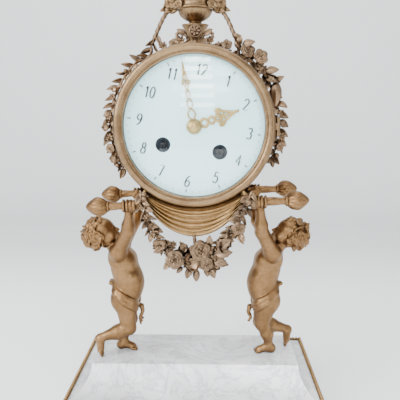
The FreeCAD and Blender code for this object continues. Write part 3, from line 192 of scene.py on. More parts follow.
# ---------------------------------------------------------------- flowers and leaves
def button(height, edge, rings=10, around=36):
    """A closed flower of radius 1: height(share, angle) over it, edge(angle) its outline."""
    share = np.linspace(0.06, 1, rings)[:, None]
    angle = np.linspace(0, 2 * math.pi, around, endpoint=False)[None]
    r = share * (1 + (edge(angle) - 1) * share)
    z = height(share, angle)
    top = np.stack([r * np.cos(angle), r * np.sin(angle), z + 0 * r], axis=2)
    under = top[-1] * [0.9, 0.9, 0] + [0, 0, top[-1][:, 2].min() - 0.12]
    back = under * [0.45, 0.45, 1] - [0, 0, 0.14]
    return rings_closed(np.vstack([back[None], under[None], top[::-1]]))


def rose():
    def height(share, angle):
        turn = (share * 3.6 + angle / (2 * math.pi)) % 1
        return 0.62 * np.sqrt(np.maximum(1 - 0.8 * share ** 2, 0)) + 0.2 * turn + 0.04 * np.cos(5 * angle)
    return button(height, lambda angle: 0.9 + 0.16 * np.abs(np.cos(2.5 * angle)), rings=15, around=40)


def daisy(petals=7):
    def height(share, angle):
        heart = 0.42 * np.sqrt(np.maximum(1 - (share / 0.34) ** 2, 0))
        groove = np.abs(np.cos(petals * angle / 2)) ** 0.6
        return heart + 0.1 + 0.26 * groove * np.minimum(share, 0.8) - 0.08 * share

    def edge(angle):
        return 0.6 + 0.42 * np.abs(np.cos(petals * angle / 2)) ** 0.7

    return button(height, edge, rings=9, around=56)


def cup():
    """An open blossom with a hollow heart."""
    def height(share, angle):
        return 0.75 * share ** 1.5 + 0.12 * np.cos(5 * angle) * share - 0.25 * np.maximum(share - 0.8, 0)
    return button(height, lambda angle: 0.92 + 0.12 * np.abs(np.cos(2.5 * angle)), rings=9, around=40)


def leaf(lobes=0, width=0.3, curl=0.3, fold=0.18, steps=14):
    """A leaf 1 long from the origin along x, its face up z."""
    t = np.linspace(0, 1, steps)
    half = width * np.sin(math.pi * np.clip(t, 0.03, 0.985) ** 0.8) ** 0.8
    if lobes:
        half = half * (0.72 + 0.28 * np.abs(np.cos(math.pi * lobes * t)))
    v = np.array([-1, -0.5, 0, 0.5, 1])
    x = t[:, None] - 0.12 * np.abs(v)[None] * half[:, None]
    y = half[:, None] * v[None]
    z = curl * np.sin(math.pi * t * 0.8)[:, None] * 0.5 + fold * np.abs(v)[None] * half[:, None]
    z = z - 0.05 * (v == 0)[None]
    thick = 0.05
    top = np.stack([x, y, z + thick], axis=2)
    low = np.stack([x, y * 0.96, z - thick], axis=2)[:, ::-1]
    return rings_closed(np.concatenate([top, low], axis=1))


def bud(ribs=6, depth=0.25, waist=0.55):
    """A closed bud 2 long along z, about 0.6 in radius, with sepals folded up its sides."""
    t = np.linspace(0.0, 1, 13)
    r = 0.62 * np.sin(math.pi * np.clip(t, 0.05, 0.98) ** 0.75) ** waist
    return lathe(np.stack([r, 2 * t], axis=1), 30, ribs, depth)


ROSE, DAISY, CUP, LEAF = rose(), daisy(), cup(), leaf()
OAK, LAUREL, BUD, BERRY = leaf(lobes=4, width=0.36), leaf(width=0.2, curl=0.2), bud(), ball()


def leaf_at(kind, where, toward, face, length):
    """A leaf from where, pointing toward, with its face turned to face."""
    x = unit(toward)
    z = unit(np.asarray(face, float) - x * np.dot(face, x))
    verts, faces = kind
    return verts * length @ np.array([x, np.cross(z, x), z]) + np.asarray(where, float), faces


# ---------------------------------------------------------------- figures as blended solids
class Field:
    """A signed distance on a grid, built up by blending rounded solids."""

    def __init__(self, low, high, step):
        self.low, self.step = np.asarray(low, float), step
        self.count = np.ceil((np.asarray(high, float) - self.low) / step).astype(int) + 1
        self.value = np.full(self.count, 9.0, np.float32)

    def window(self, low, high):
        first = np.clip(((low - self.low) / self.step).astype(int), 0, self.count - 1)
        last = np.clip(((high - self.low) / self.step).astype(int) + 2, 1, self.count)
        part = tuple(slice(a, b) for a, b in zip(first, last))
        axes = [self.low[i] + self.step * np.arange(first[i], last[i]) for i in range(3)]
        grid = np.stack(np.meshgrid(*axes, indexing="ij"), axis=-1).astype(np.float32)
        return part, grid

    def blend(self, part, distance, soft):
        old = self.value[part]
        h = np.maximum(soft - np.abs(old - distance), 0) / soft
        self.value[part] = np.minimum(old, distance) - h * h * soft / 4

    def carve(self, part, distance, soft):
        old = self.value[part]
        h = np.maximum(soft - np.abs(old + distance), 0) / soft
        self.value[part] = np.maximum(old, -distance) + h * h * soft / 4

    def limb(self, a, b, ra, rb, soft=2.0, cut=False):
        a, b = np.asarray(a, float), np.asarray(b, float)
        room = max(ra, rb) + soft + 1.5
        part, p = self.window(np.minimum(a, b) - room, np.maximum(a, b) + room)
        ab = b - a
        t = np.clip((p - a) @ ab / max(ab @ ab, 1e-6), 0, 1)
        distance = np.linalg.norm(p - a - t[..., None] * ab, axis=-1) - (ra + (rb - ra) * t)
        (self.carve if cut else self.blend)(part, distance, soft)

    def egg(self, centre, radii, soft=2.0, axes=None, cut=False):
        centre, radii = np.asarray(centre, float), np.asarray(radii, float)
        room = max(radii) + soft + 1.5
        part, p = self.window(centre - room, centre + room)
        q = p - centre
        if axes is not None:
            q = q @ np.asarray(axes).T
        k0 = np.linalg.norm(q / radii, axis=-1)
        k1 = np.linalg.norm(q / radii ** 2, axis=-1)
        distance = k0 * (k0 - 1) / np.maximum(k1, 1e-4)
        (self.carve if cut else self.blend)(part, distance, soft)

    def ring(self, centre, axis, big, small, soft=0.5, arc=None):
        """A curl or a finger: a torus, or the part of one between two angles."""
        axes = facing(axis) if arc is None else arc[0]
        room = big + small + soft + 1.0
        part, p = self.window(np.asarray(centre) - room, np.asarray(centre) + room)
        q = (p - centre) @ axes.T
        flat = np.hypot(q[..., 0], q[..., 1])
        distance = np.hypot(flat - big, q[..., 2]) - small
        if arc is not None:
            angle = np.arctan2(q[..., 1], q[..., 0])
            inside = (angle >= arc[1]) & (angle <= arc[2])
            ends = [np.array([big * math.cos(a), big * math.sin(a), 0]) for a in arc[1:]]
            caps = np.minimum(*[np.linalg.norm(q - e, axis=-1) for e in ends]) - small
            distance = np.where(inside, distance, caps)
        self.blend(part, distance, soft)

    def path(self, points, radii, soft=1.0):
        for a, b, ra, rb in zip(points[:-1], points[1:], radii[:-1], radii[1:]):
            self.limb(a, b, ra, rb, soft)

    def on_surface(self, points, lift):
        """The points moved to stand that far outside the surface so far."""
        p = np.asarray(points, float).copy()
        slope = np.gradient(self.value, self.step)
        for _ in range(8):
            spot = tuple(np.clip(np.rint((p - self.low) / self.step).astype(int), 1, self.count - 2).T)
            normal = np.stack([g[spot] for g in slope], axis=1)
            normal /= np.maximum(np.linalg.norm(normal, axis=1), 1e-3)[:, None]
            p = p - 0.7 * (self.value[spot] - lift)[:, None] * normal
        return p

    def mesh(self):
        """Closed quad mesh of the zero surface: one point for each cell that it crosses."""
        f = self.value
        inside = f < 0
        total = sum(inside[x:x + f.shape[0] - 1, y:y + f.shape[1] - 1, z:z + f.shape[2] - 1].astype(np.int8)
                    for x in (0, 1) for y in (0, 1) for z in (0, 1))
        cells = np.argwhere((total > 0) & (total < 8))
        number = np.full(total.shape, -1, np.int64)
        number[tuple(cells.T)] = np.arange(len(cells))
        sums, hits = np.zeros((len(cells), 3)), np.zeros(len(cells))
        for axis in range(3):
            step = np.eye(3, dtype=int)[axis]
            others = [np.eye(3, dtype=int)[i] for i in range(3) if i != axis]
            for m in (0, 1):
                for n in (0, 1):
                    start = cells + m * others[0] + n * others[1]
                    fa, fb = f[tuple(start.T)], f[tuple((start + step).T)]
                    cross = (fa < 0) != (fb < 0)
                    t = np.where(cross, fa / np.where(cross, fa - fb, 1), 0)
                    sums += cross[:, None] * (start + t[:, None] * step)
                    hits += cross
        verts = sums / hits[:, None] * self.step + self.low
        faces = []
        for axis in range(3):
            step = np.eye(3, dtype=int)[axis]
            u, v = [np.eye(3, dtype=int)[(axis + k) % 3] for k in (1, 2)]
            last = np.array(f.shape) - 1 - step
            core = inside[:last[0] + 1, :last[1] + 1, :last[2] + 1]
            other = inside[step[0]:, step[1]:, step[2]:][:core.shape[0], :core.shape[1], :core.shape[2]]
            for out, flip in ((core & ~other, False), (~core & other, True)):
                e = np.argwhere(out)
                for across in (u.argmax(), v.argmax()):
                    e = e[(e[:, across] > 0) & (e[:, across] < f.shape[across] - 1)]
                quad = np.stack([number[tuple((e - du * u - dv * v).T)]
                                 for du, dv in ((1, 1), (0, 1), (0, 0), (1, 0))], axis=1)
                faces.append(quad[:, ::-1] if flip else quad)
        return verts, np.vstack(faces).tolist()


def relaxed(part, rounds=2, share=0.5):
    """Evens out a dense quad mesh by moving points towards their neighbours' mean."""
    verts, faces = part
    quads = np.array(faces)
    edges = np.vstack([quads[:, [i, (i + 1) % 4]] for i in range(4)])
    for _ in range(rounds):
        total, count = np.zeros_like(verts), np.zeros(len(verts))
        for a, b in ((0, 1), (1, 0)):
            np.add.at(total, edges[:, a], verts[edges[:, b]])
            np.add.at(count, edges[:, a], 1)
        verts = verts + share * (total / count[:, None] - verts)
    return verts, faces


HEAD = np.array([-15.6, 0, 89.6])
HEAD_TILT = 0.55
HEAD_SCALE = 1.12
HEAD_AXES = np.array([[math.cos(HEAD_TILT), 0, math.sin(HEAD_TILT)], [0, 1, 0],
                      [-math.sin(HEAD_TILT), 0, math.cos(HEAD_TILT)]])


def on_head(forward, left, up):
    return HEAD + HEAD_SCALE * np.array([forward, left, up]) @ HEAD_AXES


def model_torso(body):
    body.egg((0.6, 0, 43.5), (9.6, 12.2, 9.8))
    body.egg((4.0, 0, 53.5), (10.4, 11.6, 12.6), 6)
    body.egg((-0.8, 0, 67.5), (9.6, 11.4, 13.0), 8)
    body.limb((-3.4, 9.2, 77.4), (-3.4, -9.2, 77.4), 4.9, 4.9, 5)
    body.limb((-6.0, 0, 79), (-12.5, 0, 85.5), 5.0, 4.8, 4)
    for side in (1, -1):
        body.egg((-3.4, side * 5.2, 41.5), (6.6, 6.6, 8.2), 3)
        body.egg((4.0, side * 4.6, 71.0), (3.6, 4.6, 4.4), 5)
        body.egg((-8.2, side * 5.6, 73), (2.8, 4.0, 5.4), 3)
        body.egg((6.5, side * 6.0, 60), (3.6, 4.2, 3.0), 3)
    body.limb((-11.2, 0, 48), (-11.6, 0, 74), 0.8, 0.9, 3, cut=True)
    body.egg((14.9, 0, 52.0), (1.3, 0.8, 0.9), 0.8, cut=True)


def model_head(body):
    def egg(f, l, u, radii, soft=2.0, cut=False):
        body.egg(on_head(f, l, u), np.array(radii) * HEAD_SCALE, soft, HEAD_AXES, cut)
    egg(-1.6, 0, 1.6, (9.4, 8.2, 8.8))
    egg(3.0, 0, -3.6, (6.2, 6.3, 6.6), 3)
    egg(3.4, 0, 3.0, (5.6, 6.6, 5.4), 3)
    egg(7.4, 0, -8.2, (2.0, 2.2, 1.8), 2)
    body.limb(on_head(8.4, 0, 0.4), on_head(10.3, 0, -2.9), 0.8, 1.15, 1.2)
    egg(9.0, 0, -5.0, (1.1, 1.9, 0.6), 0.8)
    egg(8.7, 0, -6.2, (1.1, 1.6, 0.6), 0.8)
    for side in (1, -1):
        egg(5.4, side * 3.7, -4.0, (3.2, 3.0, 3.2), 2)
        egg(9.3, side * 3.0, 0.0, (1.6, 1.7, 1.2), 1.2, cut=True)
        egg(7.6, side * 3.0, -0.1, (1.4, 1.5, 1.2), 0.4)
        body.limb(on_head(8.6, side * 1.4, 1.7), on_head(7.2, side * 4.6, 1.6), 0.7, 0.6, 1)
        egg(9.4, side * 1.1, -3.1, (0.8, 0.8, 0.7), 0.8)
        egg(-0.6, side * 8.0, -1.6, (1.7, 0.9, 2.6), 0.6)


def model_hair(body):
    """Ring curls spread evenly over the skull, each on a small cushion. Face and neck stay bare."""
    total = 128
    for k in range(total):
        up = 1 - 2 * (k + 0.5) / total
        angle = k * math.pi * (3 - math.sqrt(5))
        flat = math.sqrt(1 - up * up)
        forward, left = flat * math.cos(angle), flat * math.sin(angle)
        brow = forward > 0.3 and up < 0.5 + 0.3 * abs(left)
        if brow or up < -0.8:
            continue
        out = np.array([forward, left, up])
        lift = 1 + 0.05 * rng.normal()
        centre = on_head(*(np.array([-2.0, 0, 1.6]) + out * [10.0, 9.0, 9.6] * lift))
        axis = (out + 0.7 * rng.normal(size=3)) @ HEAD_AXES
        big = 1.55 + 0.55 * rng.random()
        body.egg(on_head(*(np.array([-2.0, 0, 1.6]) + out * [8.6, 7.6, 8.2])), (1.9,) * 3, 1.5)
        body.ring(centre, axis, big, 0.85, 0.35)
        body.limb(centre - 0.6 * out @ HEAD_AXES, centre + 0.7 * out @ HEAD_AXES, 0.6, 0.5, 0.4)


def model_arm(body, side, reach, level):
    shoulder = np.array([-3.2, side * 9.4, 78])
    elbow = np.array([5.8, side * (reach * 0.45 + 6.8), 95.5])
    grip = np.array([8.0, side * reach, level])
    wrist = grip + np.array([-0.6, -side * 1.2, -6.2])
    middle = elbow + (wrist - elbow) * 0.33
    body.egg(shoulder + [0, side * 0.8, 0.6], (5.0, 5.0, 5.4), 3)
    body.limb(shoulder, elbow, 5.3, 4.6, 3)
    body.limb(elbow, middle, 4.4, 4.4, 2)
    body.limb(middle, wrist, 4.4, 2.9, 2)
    body.limb(wrist, grip + [0, -side * 1.8, -3.6], 2.5, 2.6, 1.5)
    body.egg(grip + [0, -side * 2.6, -2.2], (4.2, 2.0, 3.6), 1.2)
    across = np.array([[0, side, 0], [0, 0, 1], [side, 0, 0]])
    for finger in range(4):
        centre = grip + [-3.7 + 2.45 * finger, 0, 0]
        arc = (across, -2.4, 1.5 - 0.12 * abs(finger - 1))
        body.ring(centre, None, POLE_R + 0.9, 1.12, 0.25, arc)
    body.limb(grip + [-4.2, -side * 3.6, -1.4], grip + [-1.2, -side * 3.4, 2.6], 1.4, 1.2, 0.8)


def model_legs(body):
    hip, knee, ankle = (0.6, 5.2, 40), (2.6, 3.8, 23.2), (-2.4, 2.2, 7.2)
    body.limb(hip, knee, 8.2, 5.2, 3)
    body.egg((5.4, 3.7, 23.4), (2.6, 3.4, 3.4), 2)
    body.limb(knee, (-0.9, 3.0, 15.5), 4.9, 4.7, 2)
    body.limb((-0.9, 3.0, 15.5), ankle, 4.7, 2.9, 2)
    body.egg((-4.6, 2.1, 3.3), (3.3, 2.9, 3.4), 2)
    body.limb((-2.0, 2.1, 4.4), (4.4, 1.9, 2.5), 3.4, 2.7, 2.5)
    for toe in range(5):
        y = 4.2 - 1.2 * toe
        length = 7.4 - 0.35 * abs(toe - 3.4)
        body.limb((4.2, y, 1.5), (length, y * 1.02, 1.15), 1.3, 1.1 + 0.06 * toe, 0.4)
    hip, knee, ankle = (0.6, -5.2, 40), (3.2, -7.4, 20.8), (-15.6, -9.3, 14.4)
    body.limb(hip, knee, 8.2, 5.4, 3)
    body.egg((4.8, -7.5, 19.6), (2.8, 3.4, 3.2), 2)
    body.limb(knee, (-4.6, -8.2, 17.6), 5.0, 5.4, 2)
    body.limb((-4.6, -8.2, 17.6), ankle, 5.4, 3.1, 2)
    body.egg((-18.4, -9.7, 13.6), (2.6, 2.6, 3.0), 2)
    body.limb((-17.4, -9.8, 12.2), (-17.4, -10.6, 4.8), 3.2, 2.6, 2)
    for toe in range(5):
        y = -10.6 + 1.2 * (toe - 2)
        body.limb((-17.4, y, 4.0), (-15.9, y, 1.2), 1.1, 0.95, 0.35)


def model_cloth(body):
    """The loincloth: a folded sash from the back of the waist to a knot under the belly."""
    lines = []
    for side in (1, -1):
        for fold in range(5):
            spread = (fold - 2) / 2
            guide = spline([(-9.5, side * 0.5, 53 - 1.4 * spread), (-7.5, side * 8, 50 - 2.2 * spread),
                            (0.5, side * 13, 44.5 - 3.2 * spread), (8.5, side * 9.5, 38.5 - 3.6 * spread),
                            (11.5, side * 2.0, 35.5 - 1.6 * spread)], 25)
            lines.append((body.on_surface(guide, 0.35), 0.9 + 0.35 * (fold % 2)))
    for line, thick in lines:
        body.path(line, thick * np.linspace(0.8, 1.15, len(line)), 0.6)
    body.limb((-10.4, 2.6, 53.6), (-10.4, -2.6, 53.0), 1.5, 1.4, 1.2)
    body.egg((12.0, 0, 34.8), (2.0, 2.6, 2.2), 1.0)
    for end in (-1, 0, 1):
        line = spline([(12.2, end * 0.8, 34), (12.8, end * 1.6 - 0.5, 30.5), (11.0, end * 2.0 - 1, 27),
                       (12.4 + 0.6 * end, end * 2.6 - 1, 23.5 + 1.2 * end)], 8)
        body.path(line, np.linspace(1.4, 0.8, 8), 0.6)


def putto(side):
    """One child figure: modelled facing +x at its own feet, then turned to face the clock."""
    faces_right = side < 0
    step = 0.48
    body = Field((-32, -36, -2), (24, 36, 126), step)
    model_torso(body)
    model_legs(body)
    model_cloth(body)
    model_head(body)
    model_hair(body)
    hand_x = side * (FIGURE_X - 8)
    level = AXIS_Z + (hand_x * math.sin(TILT) - POLE_DROP) / math.cos(TILT) - DECK
    near_y, far_y = POLE_Y + FIGURE_Y, POLE_Y - FIGURE_Y
    reaches = ((1, far_y), (-1, near_y)) if faces_right else ((1, near_y), (-1, far_y))
    for hand, reach in reaches:
        model_arm(body, hand, reach, level)
    ground = body.low[2] + body.step * np.arange(body.count[2])
    body.value = np.maximum(body.value, -ground[None, None].astype(np.float32))
    verts, faces = relaxed(body.mesh())
    verts = verts * [1 if faces_right else -1, 1 if faces_right else -1, 1]
    return verts + [side * FIGURE_X, FIGURE_Y, DECK], faces


# ---------------------------------------------------------------- drapery
# Each fold: its share of the cloth's height at the left end, the middle and the right end,
# its width, and how strong it is at the left and at the right.
FOLDS = (
    (0.02, 0.05, 0.04, 0.040, 0.8, 0.8),
    (0.08, 0.20, 0.12, 0.055, 1.0, 0.4),
    (0.22, 0.17, 0.30, 0.050, 0.3, 1.0),
    (0.24, 0.38, 0.30, 0.060, 1.0, 0.6),
    (0.36, 0.36, 0.48, 0.040, 0.1, 1.0),
    (0.42, 0.57, 0.42, 0.060, 1.0, 0.5),
    (0.52, 0.55, 0.64, 0.050, 0.2, 1.0),
    (0.58, 0.76, 0.60, 0.055, 1.0, 0.7),
    (0.72, 0.78, 0.80, 0.040, 0.9, 0.2),
    (0.80, 0.93, 0.76, 0.050, 0.8, 1.0),
)


def fold_height(across, down):
    """How far the cloth stands out, 0 to 1, at one place across it and all places down it."""
    u = (across + 1) / 2
    total = np.zeros_like(down)
    for left, middle, right, width, strong_left, strong_right in FOLDS:
        line = left * (1 - u) ** 2 + right * u ** 2 + 2 * middle * u * (1 - u)
        line = line + (middle - (left + right + 2 * middle) / 4) * 4 * u * (1 - u)
        off = (down - line) / np.where(down < line, 1.5 * width, 0.7 * width)
        strong = strong_left + (strong_right - strong_left) * u
        total = total + (strong * np.exp(-off ** 2)) ** 3
    return total ** (1 / 3)


def drapery():
    """Cast cloth slung under the drum, with folds that sag across its front and its back."""
    low, high = corners("drapery_cradle")
    reach, sag = high[0], low[2] - AXIS_Z
    edge_r, top = 55.5, -42.0
    face = (case_high[1] - case_low[1]) / 2 + 0.2
    across = np.sin(np.linspace(-0.5, 0.5, 121) * math.pi)
    x = reach * across
    z_top = -np.sqrt(edge_r ** 2 - np.minimum(x ** 2, reach ** 2))
    z_low = top + (sag - top + 0.7) * np.maximum(1 - across ** 2, 0) ** 0.72
    z_low = np.minimum(z_low, z_top - 1.2)
    z_in = -np.sqrt((DRUM_R + 0.6) ** 2 - x ** 2)
    w = np.linspace(0, 1, 64)
    rings = []
    for i, s in enumerate(across):
        room = math.sqrt(max(1 - s * s, 0.0))
        ridge = fold_height(s, w)
        lift = 0.4 + 3.0 * np.sin(math.pi * np.clip(w, 0, 1)) ** 0.5 * (0.25 + 0.8 * ridge)
        depth = face + lift * (0.45 + 0.55 * room) * 0.95
        depth[-1] = face - 0.6
        z = z_top[i] + (z_low[i] - z_top[i]) * w - 0.35 * ridge * room
        front = np.stack([np.full_like(w, x[i]), -depth, z], axis=1)
        back = front[::-1] * [1, -1, 1]
        under_y = np.linspace(-face + 2, face - 2, 13)
        under = np.stack([np.full_like(under_y, x[i]), under_y,
                          z_low[i] + 0.8 * np.abs(np.sin(under_y / 4.5)) * room], axis=1)
        inner_y = np.linspace(face - 0.5, -face + 0.5, 9)
        inner = np.stack([np.full_like(inner_y, x[i]), inner_y, np.full_like(inner_y, z_in[i])], axis=1)
        rings.append(np.vstack([front, under, back, inner]))
    verts, faces = rings_closed(np.array(rings))
    return verts + [0, 0, AXIS_Z], faces


def knot_of_cloth(side):
    """The gathered corner of the cloth, hanging where it passes the front pole."""
    parts = []
    for fold in range(6):
        lean = fold / 5
        start = np.array([side * 31.5, -POLE_Y - 3.4, AXIS_Z - 41 - 0.5 * fold])
        line = spline([start, start + [side * (2.2 + 0.9 * fold), -1.4 + 0.2 * fold, -4.0],
                       start + [side * (2.0 + 1.5 * lean), -1.6, -9.5 + 1.5 * lean],
                       start + [side * (-1.0 + 1.5 * lean), -1.2, -14.5 + 4 * lean]], 12)
        parts.append(tube(line, np.linspace(1.5, 0.7, 12), 8))
    return joined(parts)


# ---------------------------------------------------------------- garlands
def polar_spot(radius, degrees, y):
    """A spot round the dial axis, degrees clockwise from the top as seen from the front."""
    angle = math.radians(degrees)
    return np.array([radius * math.sin(angle), y, AXIS_Z + radius * math.cos(angle)])


def vine(points, radius=0.9, count=60):
    return tube(spline(points, count), radius, 10, 2, 0.28, 26)


def sprigs(path, kinds, gap, size, front=(0, -1, 0)):
    """Leaves alternating left and right along a path, tilted outwards."""
    parts = []
    line = spline(path, 400)
    walked = np.concatenate([[0], np.cumsum(np.linalg.norm(np.diff(line, axis=0), axis=1))])
    for number, mark in enumerate(np.arange(gap / 2, walked[-1], gap)):
        i = min(np.searchsorted(walked, mark), len(line) - 2)
        along = unit(line[i + 1] - line[i])
        side = np.cross(along, front) * (1 if number % 2 else -1)
        toward = along * 0.8 + side * (0.75 + 0.3 * rng.random()) + np.array(front) * 0.3 * rng.random()
        face = np.array(front) + 0.5 * rng.normal(size=3)
        length = size * (0.85 + 0.3 * rng.random())
        parts.append(leaf_at(kinds[number % len(kinds)], line[i], toward, face, length))
    return parts


def blossoms(items, depth):
    """Flowers from (kind, x, z below or above the dial axis, radius), each turned a little."""
    parts = []
    for kind, x, z, radius in items:
        look = np.array([0.35 * rng.normal(), -1, 0.3 * rng.normal()])
        parts.append(placed(kind, (x, depth, AXIS_Z + z), look, 6.28 * rng.random(), radius))
    return parts


def garland_lower():
    y = corners("garland_lower")[0][1] + 6.4
    left = [(-36, y + 2, -42), (-34, y, -50), (-31, y, -59), (-28, y, -68), (-23, y, -76),
            (-14, y, -84), (2, y, -84)]
    right = [(38, y + 2, -42), (36, y, -50), (32, y, -59), (27, y, -67), (20, y, -76),
             (12, y, -82), (2, y, -84)]
    lift = np.array([0, 0, AXIS_Z])
    left = [np.array(p) + lift for p in left]
    right = [np.array(p) + lift for p in right]
    parts = [vine(left, 1.1), vine(right, 1.1),
             vine([(0, y + 1, AXIS_Z - 72), (1, y, AXIS_Z - 79), (3, y, AXIS_Z - 86)], 1.2, 16)]
    parts += sprigs(left, (LAUREL, LEAF, OAK), 2.6, 7.6)
    parts += sprigs(right, (LAUREL, LEAF, OAK), 2.7, 7.6)
    parts += blossoms([(DAISY, -34.5, -53, 2.6), (DAISY, -31.5, -60, 3.0), (BERRY, -33, -47, 2.0),
                       (CUP, -29.5, -66, 2.8), (DAISY, -26.5, -71, 3.4), (CUP, -21, -77, 4.0),
                       (ROSE, -12.5, -88, 6.4), (DAISY, -17.5, -82, 3.8), (CUP, -8, -80, 3.2),
                       (DAISY, -25.5, -80, 2.6), (DAISY, -14, -78, 2.6)], y - 1.4)
    parts += blossoms([(ROSE, 3.5, -82, 7.2), (CUP, -4, -86, 4.4), (DAISY, 11, -83, 5.0),
                       (ROSE, 8, -91, 5.0), (CUP, 0.5, -92, 4.6), (DAISY, 14, -88, 4.2),
                       (ROSE, 29.5, -66, 4.8), (DAISY, 33, -56, 3.0), (CUP, 19, -79, 4.2),
                       (DAISY, 23.5, -74, 3.6), (DAISY, -5, -92, 3.2), (CUP, 35, -49, 2.4),
                       (DAISY, 27, -71, 3.0), (CUP, 15.5, -93, 2.8)], y - 1.8)
    for x, z, turn, length in ((14, -84, 0.1, 12), (15, -80, 0.55, 12), (13, -88, -0.35, 11),
                               (30, -70, -1.2, 8), (17, -77, 0.95, 9), (10, -79, 1.5, 8),
                               (-20, -80, 3.6, 8), (-5, -82, 2.2, 8), (-16, -90, 4.0, 7),
                               (-2, -95, 4.2, 7), (11, -95, 5.2, 7)):
        toward = (math.cos(turn), -0.12, math.sin(turn))
        parts.append(leaf_at(OAK, (x, y - 1.5, AXIS_Z + z), toward, (0, -1, 0.15), length))
    for x, z, lean, size in ((-3.5, -95, -0.2, 3.6), (1.5, -96, 0.0, 4.0), (8, -94, 0.2, 3.4),
                             (-8, -94, -0.9, 2.8), (12, -93, 0.5, 3.0)):
        parts.append(placed(BUD, (x, y - 0.6, AXIS_Z + z), (lean, 0, -1), 0.4, size))
    return joined(parts)


def side_garland(side):
    """From the urn's handle over the shoulder of the drum and down its flank."""
    rim_y = {-1: -7.5, 1: -9.0}[side]
    stem = [(side * 17.5, -3, 78), (side * 22, -5, 71), (side * 26, -6.5, 62), (side * 29.5, -7.5, 54)]
    stem = [np.array(p) + [0, 0, AXIS_Z] for p in stem]
    parts = [tube(spline(stem, 40), 1.35, 12, 3, 0.2, 14)]
    bend = {-1: 121, 1: 113}[side]
    outward = {-1: 58.5, 1: 58.0}[side]
    flank = [polar_spot(outward - 2 * (d < 36), side * d, rim_y) for d in np.linspace(33, bend, 9)]
    parts.append(vine([stem[-1]] + flank, 1.0, 120))
    if side < 0:
        upper, lower = flank[:5], flank[4:]
        parts += sprigs([stem[-2]] + upper, (LAUREL,), 3.0, 8.0)
        parts += sprigs(lower, (OAK, LEAF, LAUREL), 2.3, 7.4)
        items = [(CUP, 66, 60, 2.2), (DAISY, 71, 60, 2.6), (BERRY, 52, 60, 1.5), (DAISY, 84, 60, 2.8),
                 (CUP, 91, 61, 3.0), (DAISY, 98, 60, 3.2), (ROSE, 105, 60.5, 3.4), (CUP, 112, 61, 2.8),
                 (BERRY, 88, 62, 1.6), (BERRY, 117, 61, 1.8)]
    else:
        parts += sprigs([stem[-1]] + flank, (LEAF, OAK), 3.0, 7.4)
        items = [(ROSE, 35.5, 60.5, 5.0), (ROSE, 44, 63, 5.2), (DAISY, 50, 59, 4.0), (DAISY, 40, 57.5, 3.4),
                 (CUP, 54, 59, 2.8), (DAISY, 82, 59.5, 2.8), (CUP, 89, 60, 2.6), (DAISY, 97, 60, 3.0),
                 (ROSE, 104, 60, 3.0), (BERRY, 110, 60, 2.0)]
        for degrees, reach, turn, length in ((31, 62, 0.25, 9), (53, 60, 0.1, 9),
                                             (56, 58, -0.5, 8), (29, 61, 1.4, 7)):
            spot = polar_spot(reach, degrees, rim_y - 2)
            toward = (math.cos(turn), -0.15, math.sin(turn))
            parts.append(leaf_at(LEAF, spot, toward, (0, -1, 0.3), length))
        parts.append(placed(BUD, polar_spot(66, 23, rim_y), (0.75, -0.1, -0.45), 0.2, 3.6))
        parts.append(placed(BUD, polar_spot(62, 26, rim_y), (0.6, -0.1, -0.7), 0.6, 3.4))
        parts += pomegranate(polar_spot(62.5, 61.5, rim_y - 1))
    for kind, degrees, reach, radius in items:
        centre = polar_spot(reach, side * degrees, rim_y - 2.0)
        out = unit(centre - [0, rim_y, AXIS_Z]) * 0.45 + [0, -1, 0]
        parts.append(placed(kind, centre, out, 6.28 * rng.random(), radius))
    tail = polar_spot(outward, side * bend, rim_y)
    parts.append(placed(BUD, tail, (side * 0.15, 0, -1), 0.3, 3.2))
    verts, faces = joined(parts)
    across = np.hypot(verts[:, 0], verts[:, 2] - AXIS_Z)
    inside = across < DRUM_R + 0.2
    push = (DRUM_R + 0.2) / np.maximum(across, 1)
    verts[inside, 0] *= push[inside]
    verts[inside, 2] = AXIS_Z + (verts[inside, 2] - AXIS_Z) * push[inside]
    return verts, faces


def pomegranate(top):
    """A ribbed fruit hanging by its crown, with a leaf over it."""
    t = np.linspace(0, 1, 16)
    r = 4.3 * np.sin(math.pi * np.clip(t, 0.04, 0.97) ** 0.9) ** 0.6
    fruit = lathe(np.stack([r, -17.5 * t], axis=1), 32, 8, 0.16)
    crown = placed(DAISY, top, (0.2, -0.3, 1), 0.2, 3.6)
    return [crown, (fruit[0] + top, fruit[1]), leaf_at(LEAF, top, (0.9, -0.2, 0.5), (0, -1, 0.3), 6.5)]


